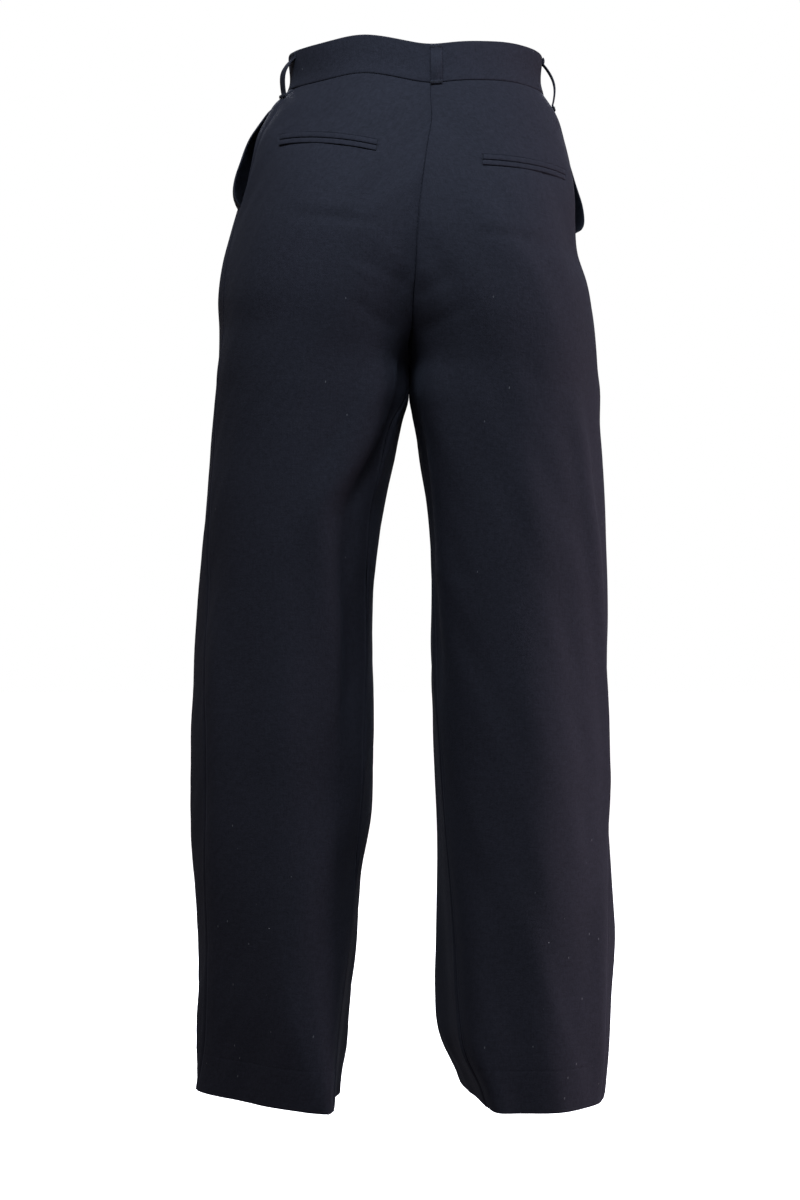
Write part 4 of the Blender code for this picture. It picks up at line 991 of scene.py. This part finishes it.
def stitch_tree():
    """Stitches along a line: one thin rounded stitch at each step of the spacing."""
    tree = bpy.data.node_groups.new("stitch_row", "GeometryNodeTree")
    sockets = {}
    for name, kind in (
        ("Line", "NodeSocketGeometry"),
        ("Spacing", "NodeSocketFloat"),
        ("Stitch Length", "NodeSocketFloat"),
        ("Thread Radius", "NodeSocketFloat"),
        ("Wander", "NodeSocketFloat"),
        ("Thread", "NodeSocketMaterial"),
    ):
        sockets[name] = tree.interface.new_socket(name=name, in_out="INPUT", socket_type=kind).identifier
    tree.interface.new_socket(name="Stitches", in_out="OUTPUT", socket_type="NodeSocketGeometry")
    board = Board(tree)
    given = tree.nodes.new("NodeGroupInput")
    wire = {name: Wire(board, given.outputs[name]) for name in sockets}
    curve = board.add("GeometryNodeMeshToCurve", {}, {"Mesh": wire["Line"]})
    row = board.add(
        "GeometryNodeResampleCurve", {"mode": "LENGTH"}, {"Curve": curve, "Length": wire["Spacing"]}
    )
    lie = board.add("GeometryNodeInputNamedAttribute", {"data_type": "FLOAT_VECTOR"}, {"Name": "lie"})
    chance = board.add(
        "FunctionNodeRandomValue",
        {"data_type": "FLOAT_VECTOR"},
        {"Min": (-1.0, -1.0, -1.0), "Max": (1.0, 1.0, 1.0), "Seed": 4},
    )
    stray = board.add("ShaderNodeVectorMath", {"operation": "SCALE"}, {0: chance, "Scale": wire["Wander"]})
    way = board.add("ShaderNodeVectorMath", {"operation": "ADD"}, {0: lie, 1: stray})
    turn = board.add("FunctionNodeAlignRotationToVector", {"axis": "Z"}, {"Vector": way})
    size = board.add(
        "ShaderNodeCombineXYZ",
        {},
        {"X": wire["Thread Radius"], "Y": wire["Thread Radius"], "Z": wire["Stitch Length"] * 0.5},
    )
    bead = board.add("GeometryNodeMeshUVSphere", {}, {"Segments": 6, "Rings": 5, "Radius": 1.0}, "Mesh")
    copies = board.add(
        "GeometryNodeInstanceOnPoints", {}, {"Points": row, "Instance": bead, "Rotation": turn, "Scale": size}
    )
    real = board.add("GeometryNodeRealizeInstances", {}, {"Geometry": copies})
    dressed = board.add("GeometryNodeSetMaterial", {}, {"Geometry": real, "Material": wire["Thread"]})
    end = tree.nodes.new("NodeGroupOutput")
    tree.links.new(dressed.socket, end.inputs["Stitches"])
    return tree, sockets


STITCH_TREE, STITCH_INPUTS = stitch_tree()


def stitched(name, lines, spacing, length, radius=THREAD_RADIUS, wander=0.06, thread=THREAD):
    """A piece of stitches. Each line is (points, the way each stitch lies)."""
    points, edges, ways = [], [], []
    for line, way in lines:
        edges += [(len(points) + k, len(points) + k + 1) for k in range(len(line) - 1)]
        points += [tuple(p) for p in line]
        ways += [tuple(w) for w in way]
    mesh = bpy.data.meshes.new(name + "_line")
    mesh.from_pydata(points, edges, [])
    lie = mesh.attributes.new("lie", "FLOAT_VECTOR", "POINT")
    lie.data.foreach_set("vector", np.array(ways, dtype=np.float32).ravel())
    carrier = bpy.data.objects.new(name + "_line", mesh)
    bpy.context.scene.collection.objects.link(carrier)
    sewing = carrier.modifiers.new("sewing", "NODES")
    sewing.node_group = STITCH_TREE
    for title, value in (
        ("Spacing", spacing),
        ("Stitch Length", length),
        ("Thread Radius", radius),
        ("Wander", wander),
        ("Thread", thread),
    ):
        sewing[STITCH_INPUTS[title]] = value
    made = bpy.data.meshes.new_from_object(carrier.evaluated_get(bpy.context.evaluated_depsgraph_get()))
    bpy.data.objects.remove(carrier)
    made.name = name
    piece = outlet(name, made, thread)
    return piece


def run_of(points):
    """The direction of a line of points at each of them."""
    way = np.gradient(points, axis=0)
    return way / np.linalg.norm(way, axis=1)[:, None]


# Blind stitches: a pin-prick of thread every 9 mm where the hem's upper edge is felled to the leg
BLIND_SPACING, BLIND_LENGTH, BLIND_RADIUS, BLIND_SINK = 0.009, 0.0011, 0.00013, 0.00004
FELL_SPACING, FELL_LENGTH, FELL_RISE, FELL_BEHIND = 0.0024, 0.0032, 0.0006, 1.55 * CLOTH
for side in (LEFT, RIGHT):
    level = HEM + HEM_DEPTH - 0.0015
    r = ring(side, level)
    arcs = np.linspace(r.start + 0.004, r.end - 0.004, 160)
    normal = outward(side, level, arcs)
    waves = undulation(PANEL_WAVES + side, arcs - r.outseam, level)[:, None]
    pricks = cloth_line(side, level, arcs) + normal * waves - normal * BLIND_SINK
    level = HEM + HEM_DEPTH + 0.0004
    fell = cloth_line(side, level, arcs) - outward(side, level, arcs) * FELL_BEHIND
    fell = fell + np.array([0.0, 0.0, FELL_RISE])
    name = f"hem_stitches_{SIDES[side]}"
    stitched(name, [(pricks, run_of(pricks))], BLIND_SPACING, BLIND_LENGTH, BLIND_RADIUS)
    slant = run_of(fell) * 0.5 + np.array([0.0, 0.0, 0.9])
    stitched(f"hem_felling_{SIDES[side]}", [(fell, slant)], FELL_SPACING, FELL_LENGTH)

# The pocket's ends: a row of close stitches across each end of the welts
PAST_WELT, END_SINK = 0.0006, 0.0004
END_SPACING, END_LENGTH, END_RADIUS, END_WANDER = 0.0016, 0.0019, 0.00022, 0.03
for side in (LEFT, RIGHT):
    lines = []
    for along in (-PAST_WELT, WELT_LENGTH + PAST_WELT):
        ups = np.linspace(WELT_HEIGHT + PAST_WELT, -WELT_HEIGHT - PAST_WELT, 14)
        points = []
        for up in ups:
            level = WELT_LEVEL[side] + float(welt_rise(side, along)) + up
            arcs = np.array([ring(side, level).start + WELT_START[side] + along])
            points.append(cloth_line(side, level, arcs)[0] - outward(side, level, arcs)[0] * END_SINK)
        points = np.array(points)
        lines.append((points, run_of(points)))
    name = f"pocket_end_stitches_{SIDES[side]}"
    stitched(name, lines, END_SPACING, END_LENGTH, END_RADIUS, END_WANDER)

# ---------------------------------------------------------------- belt loops
# Five narrow straps of folded suiting. Each is tacked down at the top of the waistband and just under
# it, and stands off the band between, the side ones the most.
LOOP_WIDTH, LOOP_THICKNESS, LOOP_LAID, LOOP_TOP_MARGIN = 0.011, 0.0018, 0.006, 0.0015
LOOP_GAP = 0.0003
LOOP_AHEAD = 0.004  # how far ahead of the outseam a side loop sits
LOOP_FOLD = 0.00022  # the ridges of its folded edges
TACK_SPACING, TACK_LENGTH, TACK_RADIUS, TACK_WANDER = 0.00062, 0.0021, 0.00022, 0.04
# from_middle is from the centre back, or from the centre front if negative, or None at the side
Loop = namedtuple("Loop", "name side from_middle drop stand_off")
LOOPS = [
    Loop("loop_back", RIGHT, 0.0055, 0.002, 0.0030),
    Loop("loop_left", LEFT, None, 0.012, 0.0068),
    Loop("loop_right", RIGHT, None, 0.012, 0.0068),
    Loop("loop_front_left", LEFT, -0.082, 0.009, 0.0030),
    Loop("loop_front_right", RIGHT, -0.082, 0.009, 0.0030),
]


def belt_loop(loop):
    side = loop.side
    top = WAIST_SEAM + LOOP_GAP + BAND_HEIGHT - LOOP_TOP_MARGIN
    bottom = WAIST_SEAM - loop.drop
    laid_top, laid_bottom = top - LOOP_LAID, bottom + LOOP_LAID * 0.6
    on_band = BAND_PROUD + LOOP_GAP
    if side == RIGHT and loop.from_middle is not None and loop.from_middle < 0:  # on the band's lap
        on_band += float(band_lift(side, np.array(-loop.from_middle))) - BAND_PROUD

    def place(level, across):
        r = ring(side, level)
        if loop.from_middle is None:
            middle_at = r.outseam + LOOP_AHEAD
        else:
            middle_at = r.start + loop.from_middle if loop.from_middle > 0 else r.end + loop.from_middle
        lift = LOOP_GAP + (on_band - LOOP_GAP) * ease((level - bottom - 0.001) / 0.003)
        normal = outward(side, level, middle_at + across)
        return cloth_line(side, level, middle_at + across) + lift * normal, normal

    across = edged(-LOOP_WIDTH / 2, LOOP_WIDTH / 2, 8, LOOP_THICKNESS / 2)
    levels = list(edged(top, laid_top, 3, LOOP_THICKNESS / 2)[:-4])
    levels += list(np.linspace(laid_top, laid_bottom, 26))
    levels += list(edged(laid_bottom, bottom, 3, LOOP_THICKNESS / 2)[4:])
    levels = [lv for lv, nxt in zip(levels, levels[1:] + [None]) if nxt is None or lv - nxt > 1e-6]
    (high, high_normal), (low, low_normal) = place(laid_top, across), place(laid_bottom, across)
    centre, normals, halves = [], [], []
    for level in levels:
        if laid_bottom < level < laid_top:
            share = (laid_top - level) / (laid_top - laid_bottom)
            normal = high_normal + (low_normal - high_normal) * share
            bow = loop.stand_off * math.sin(math.pi * share) ** 0.8
            points = high + (low - high) * share + bow * normal
        else:
            points, normal = place(level, across)
        folded = LOOP_FOLD * np.cos(across / (LOOP_WIDTH / 2) * math.pi * 1.5)
        centre.append(points + (LOOP_THICKNESS / 2 + folded)[:, None] * normal)
        normals.append(normal)
        edge = np.minimum(LOOP_WIDTH / 2 - np.abs(across), min(top - level, level - bottom))
        halves.append(LOOP_THICKNESS / 2 * rounding(edge, LOOP_THICKNESS / 2))
    piece = sewn_cloth(f"belt_{loop.name}", centre, normals, halves, SUITING)
    lines = []
    for level in (top - 0.0022, bottom + 0.0014):
        wide = np.linspace(-LOOP_WIDTH / 2 - 0.0004, LOOP_WIDTH / 2 + 0.0004, 12)
        points, normal = place(level, wide)
        points = points + (LOOP_THICKNESS + 0.00016) * normal
        slant = np.tile(np.array([0.0, 0.0, 1.0]), (len(wide), 1)) + run_of(points) * 0.25
        lines.append((points, slant))
    stitched(f"{loop.name}_tacks", lines, TACK_SPACING, TACK_LENGTH, TACK_RADIUS, TACK_WANDER)
    return piece


for loop in LOOPS:
    piece = belt_loop(loop)
    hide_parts(loop.name)
    length = BAND_HEIGHT - LOOP_TOP_MARGIN + loop.drop + 0.002

# ---------------------------------------------------------------- fly
# The right front laps over the left and hides the zip. Its facing shows as a flat J-shaped layer, held
# by a curved row of stitches, and the zip's tape and teeth lie behind.
FLY_WIDTH, FLY_LAP, FLY_END, FLY_CURVE, FLY_THICKNESS = 0.036, 0.006, -0.180, 0.045, 0.0009
FLY_STITCH_IN = 0.0045
ZIP_HALF_WIDTH, ZIP_THICKNESS, ZIP_END, ZIP_BEHIND = 0.014, 0.0010, -0.172, 0.0009


def front_row(level, places):
    """Points and normals beside the centre front; a place is positive on the wearer's left."""
    points, normals = [], []
    for place in places:
        side = LEFT if place >= 0 else RIGHT
        arcs = np.array([ring(side, level).end - abs(place)])
        points.append(cloth_line(side, level, arcs)[0])
        normals.append(outward(side, level, arcs)[0])
    return np.array(points), np.array(normals)


def fly_reach(level):
    share = min(max((level - FLY_END) / FLY_CURVE, 0.0), 1.0)
    return FLY_WIDTH * math.sqrt(1 - (1 - share) ** 2) + 0.002


def front_strip(name, levels, reach, lap, lift, thickness, finish, count=24):
    centre, normals, halves = [], [], []
    for level in levels:
        places = edged(-reach(level), lap, count, thickness / 2)
        points, normal = front_row(level, places)
        edge = np.minimum(places + reach(level), lap - places)
        edge = np.minimum(edge, min(levels[0] - level, level - levels[-1]))
        centre.append(points + (lift + thickness / 2) * normal)
        normals.append(normal)
        halves.append(thickness / 2 * rounding(edge, thickness / 2))
    return sewn_cloth(name, centre, normals, halves, finish)


fly_levels = steps_between([WAIST_SEAM - 0.0001, FLY_END + FLY_CURVE, FLY_END + 0.008], [0.004, 0.003])
fly_levels += list(FLY_END + np.array([0.0058, 0.0038, 0.0022, 0.001, 0.0003, 0.0]))
FLY = front_strip("fly_lap", fly_levels, fly_reach, FLY_LAP, 0.0002, FLY_THICKNESS, SUITING)
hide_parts("fly_facing")

curve = []
curve_top, curve_end = WAIST_SEAM - 0.002, FLY_END + FLY_STITCH_IN
for share in np.linspace(0.0, 1.0, 60):
    level = curve_top + (curve_end - curve_top) * math.sin(share * math.pi / 2)
    place = min(-(fly_reach(level - 0.0015) - FLY_STITCH_IN), FLY_LAP - 0.002)
    points, normal = front_row(level, [place])
    curve.append(points[0] + normal[0] * (FLY_THICKNESS + 0.00028))
curve = np.array(curve)
stitched("fly_stitches", [(curve, run_of(curve))], 0.0027, 0.0023, 0.00018)


def zip_finish():
    """Closely woven polyester tape."""
    made, board = finish_named("zip_tape", (0.012, 0.012, 0.014))
    place = board.add("ShaderNodeTexCoord", {}, {}, "Object")
    threads = []
    for direction, scale in (("X", 380.0), ("Z", 300.0)):
        bands = {"Vector": place, "Scale": scale}
        threads.append(board.add("ShaderNodeTexWave", {"bands_direction": direction}, bands, "Fac"))
    weave = threads[0] * 0.5 + threads[1] * 0.5
    colour = blend(board, weave, (0.007, 0.007, 0.009), (0.018, 0.018, 0.021))
    bump = board.add("ShaderNodeBump", {}, {"Height": weave, "Strength": 0.5, "Distance": 0.0002})
    shade(board, {"Base Color": colour, "Roughness": 0.6 + weave * 0.15, "Normal": bump})
    return made


TAPE = zip_finish()
zip_levels = steps_between([WAIST_SEAM - 0.0001, ZIP_END], [0.0035])
behind = CLOTH + ZIP_BEHIND + ZIP_THICKNESS
tape = front_strip(
    "zip_tapes", zip_levels, lambda level: ZIP_HALF_WIDTH, ZIP_HALF_WIDTH, -behind, ZIP_THICKNESS, TAPE, 14
)
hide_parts("fly_zip")

teeth = []
for level in np.linspace(WAIST_SEAM - 0.004, ZIP_END + 0.004, 80):
    points, normal = front_row(level, [0.0])
    teeth.append(points[0] - normal[0] * (behind + 0.0004))
teeth = np.array(teeth)
sideways = np.tile(np.array([1.0, 0.0, 0.0]), (len(teeth), 1))
stitched("zip_teeth", [(teeth, sideways)], 0.0013, 0.0044, 0.0005, 0.0, TAPE)

# ---------------------------------------------------------------- waist button
# A turned resin button with four holes, sewn with black thread on the band's lapped end. The buttonhole
# that it passes through is bound all round with close stitches.
BUTTON_THICKNESS, BUTTON_DISH, BUTTON_HOLE_RING = 0.0028, 0.72, 0.0021
BAR_RADIUS, BAR_RISE, BAR_STEP = 0.00034, 0.0003, 0.00001  # the second bar of thread crosses the first
HOLE_HALF_LENGTH, HOLE_HALF_HEIGHT = 0.0095, 0.0011


def resin():
    """Black resin with faint darker and lighter streaks, polished."""
    made, board = finish_named("button_resin", (0.012, 0.012, 0.013))
    place = board.add("ShaderNodeTexCoord", {}, {}, "Object")
    run = board.add("ShaderNodeMapping", {}, {"Vector": place, "Scale": (150.0, 150.0, 420.0)})
    streak = board.add(
        "ShaderNodeTexNoise", {}, {"Vector": run, "Scale": 1.0, "Detail": 4.0, "Distortion": 1.5}, "Fac"
    )
    fine = board.add("ShaderNodeTexNoise", {}, {"Vector": place, "Scale": 1800.0, "Detail": 2.0}, "Fac")
    colour = board.add(
        "ShaderNodeValToRGB",
        {"stops": [(0.35, (0.007, 0.007, 0.008)), (0.62, (0.018, 0.017, 0.017))]},
        {"Fac": streak},
        "Color",
    )
    bump = board.add("ShaderNodeBump", {}, {"Height": fine, "Strength": 0.15, "Distance": 0.0001})
    sockets = {"Base Color": colour, "Roughness": 0.26 + streak * 0.14, "Normal": bump, "Coat Weight": 0.25}
    shade(board, sockets)
    return made


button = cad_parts["waist_button"]
for spot in button.material_slots:
    spot.material = resin()

level = WAIST_SEAM + LAP_GAP + BAND_HEIGHT / 2
at = np.array([ring(RIGHT, level).end])
axis = outward(RIGHT, level, at)[0]
base = cloth_line(RIGHT, level, at)[0] + (BAND_PROUD + BAND_THICKNESS + 2 * LAP_GAP) * axis
right_way = np.cross([0.0, 0.0, 1.0], axis)
right_way /= np.linalg.norm(right_way)
up_way = np.cross(axis, right_way)
bars = []
for sign in (1, -1):
    start = (right_way + up_way * sign) * BUTTON_HOLE_RING / math.sqrt(2)
    bars.append(np.array([base - start, base + start]) + axis * (BUTTON_THICKNESS * BUTTON_DISH + 0.0002))
for k, bar in enumerate(bars):
    over = bar.mean(axis=0) + axis * BAR_RISE * k
    spot = np.array([over, over + axis * BAR_STEP])
    way = np.tile(bar[1] - bar[0], (2, 1)) / np.linalg.norm(bar[1] - bar[0])
    stitched(f"button_thread_{k + 1}", [(spot, way)], 0.0001, BUTTON_HOLE_RING * 2.1, BAR_RADIUS, 0.0)

hole = []
for turn in np.linspace(0.0, 2 * math.pi, 49):
    c, s = math.cos(turn), math.sin(turn)
    place = -0.004 + (HOLE_HALF_LENGTH + HOLE_HALF_HEIGHT) * (abs(c) ** 0.5) * (1 if c > 0 else -1)
    points, normal = front_row(level + HOLE_HALF_HEIGHT * s, [place])
    hole.append(points[0] + normal[0] * (BAND_PROUD + BAND_THICKNESS + LAP_GAP + 0.0001))
outline = np.array(hole)
spokes = outline - outline.mean(axis=0)
spokes[:, 0] *= 0.12
spokes /= np.linalg.norm(spokes, axis=1)[:, None]
stitched("buttonhole_stitches", [(outline, spokes)], 0.0006, 0.0019, 0.00020, 0.05)

# ---------------------------------------------------------------- studio and camera
# A white floor that runs into a white surround, soft lamps behind the hips, at the right leg and in
# front, and a camera level with the knees and square to the back.
FLOOR_LEVEL = -1.083
FLOOR_SIZE = 30.0
FLOOR_GLOW = 0.80
FLOOR_RETURN = (0.20, 0.20, 0.21)  # what the floor sends back to the garment
ROOM_GLOW = (0.40, 0.36, 0.37)  # what the surround lights the garment with


def paper():
    made, board = finish_named("floor_paper", (0.9, 0.9, 0.9))
    place = board.add("ShaderNodeTexCoord", {}, {}, "Object")
    grain = board.add("ShaderNodeTexNoise", {}, {"Vector": place, "Scale": 60.0, "Detail": 3.0}, "Fac")
    colour = {"Base Color": (0.93, 0.93, 0.935, 1.0), "Emission Color": (1.0, 1.0, 1.0, 1.0)}
    sockets = {**colour, "Emission Strength": FLOOR_GLOW, "Roughness": 0.75 + grain * 0.1}
    lit = board.add("ShaderNodeBsdfPrincipled", {}, sockets)
    dull = board.add("ShaderNodeBsdfDiffuse", {}, {"Color": (*FLOOR_RETURN, 1.0)})
    seen = board.add("ShaderNodeLightPath", {}, {}, "Is Camera Ray")
    both = board.add("ShaderNodeMixShader", {}, {0: seen, 1: dull, 2: lit})
    board.add("ShaderNodeOutputMaterial", {}, {"Surface": both})
    return made


half = FLOOR_SIZE / 2
floor_mesh = bpy.data.meshes.new("floor")
corners = [(-half, -half), (half, -half), (half, half), (-half, half)]
floor_mesh.from_pydata([(x, y, FLOOR_LEVEL) for x, y in corners], [], [(0, 1, 2, 3)])
floor_mesh.materials.append(paper())
floor = bpy.data.objects.new("floor", floor_mesh)
bpy.context.scene.collection.objects.link(floor)
floor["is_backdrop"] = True

world = bpy.data.worlds.new("surround")
world.use_nodes = True
room = Board(world.node_tree)
seen = room.add("ShaderNodeLightPath", {}, {}, "Is Camera Ray")
glow = blend(room, seen, ROOM_GLOW, (1.0, 1.0, 1.0))
world.node_tree.links.new(glow.socket, world.node_tree.nodes["Background"].inputs["Color"])
bpy.context.scene.world = world

# name, place, what it faces, size, power, colour
SOFTBOXES = [
    ("key", (0.14, 0.88, 0.72), (0.03, 0.1, -0.12), 0.5, 19.5, (0.67, 0.82, 1.0)),
    ("fill", (-0.16, 0.88, 0.68), (-0.03, 0.1, -0.14), 0.5, 16.0, (0.67, 0.82, 1.0)),
    ("side", (-1.9, 0.04, -0.62), (-0.15, 0.0, -0.60), 0.6, 50.0, (0.97, 0.84, 1.0)),
    ("front", (0.0, -1.9, 1.30), (0.0, 0.0, -0.45), 0.9, 120.0, (0.88, 0.91, 1.0)),
]
for name, place, target, size, power, colour in SOFTBOXES:
    lamp = bpy.data.lights.new(name, "AREA")
    lamp.shape, lamp.size, lamp.energy, lamp.color = "SQUARE", size, power, colour
    box = bpy.data.objects.new(name, lamp)
    box.location = place
    toward = np.array(target) - np.array(place)
    box.rotation_euler = (
        math.acos(-toward[2] / np.linalg.norm(toward)),
        0.0,
        math.atan2(toward[1], toward[0]) - math.pi / 2,
    )
    bpy.context.scene.collection.objects.link(box)

camera = bpy.data.cameras.new("camera")
camera.lens, camera.sensor_width = 90.0, 36.0
camera.clip_start, camera.clip_end = 0.1, 100.0
eye = bpy.data.objects.new("camera", camera)
eye.location = (0.0165, 3.0, -0.5235)
eye.rotation_euler = (math.radians(90), 0.0, math.radians(180))
bpy.context.scene.collection.objects.link(eye)
bpy.context.scene.camera = eye
bpy.context.scene.view_settings.view_transform = "Standard"

size = {"cad": cad_box, "visual": [list(corner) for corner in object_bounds()]}
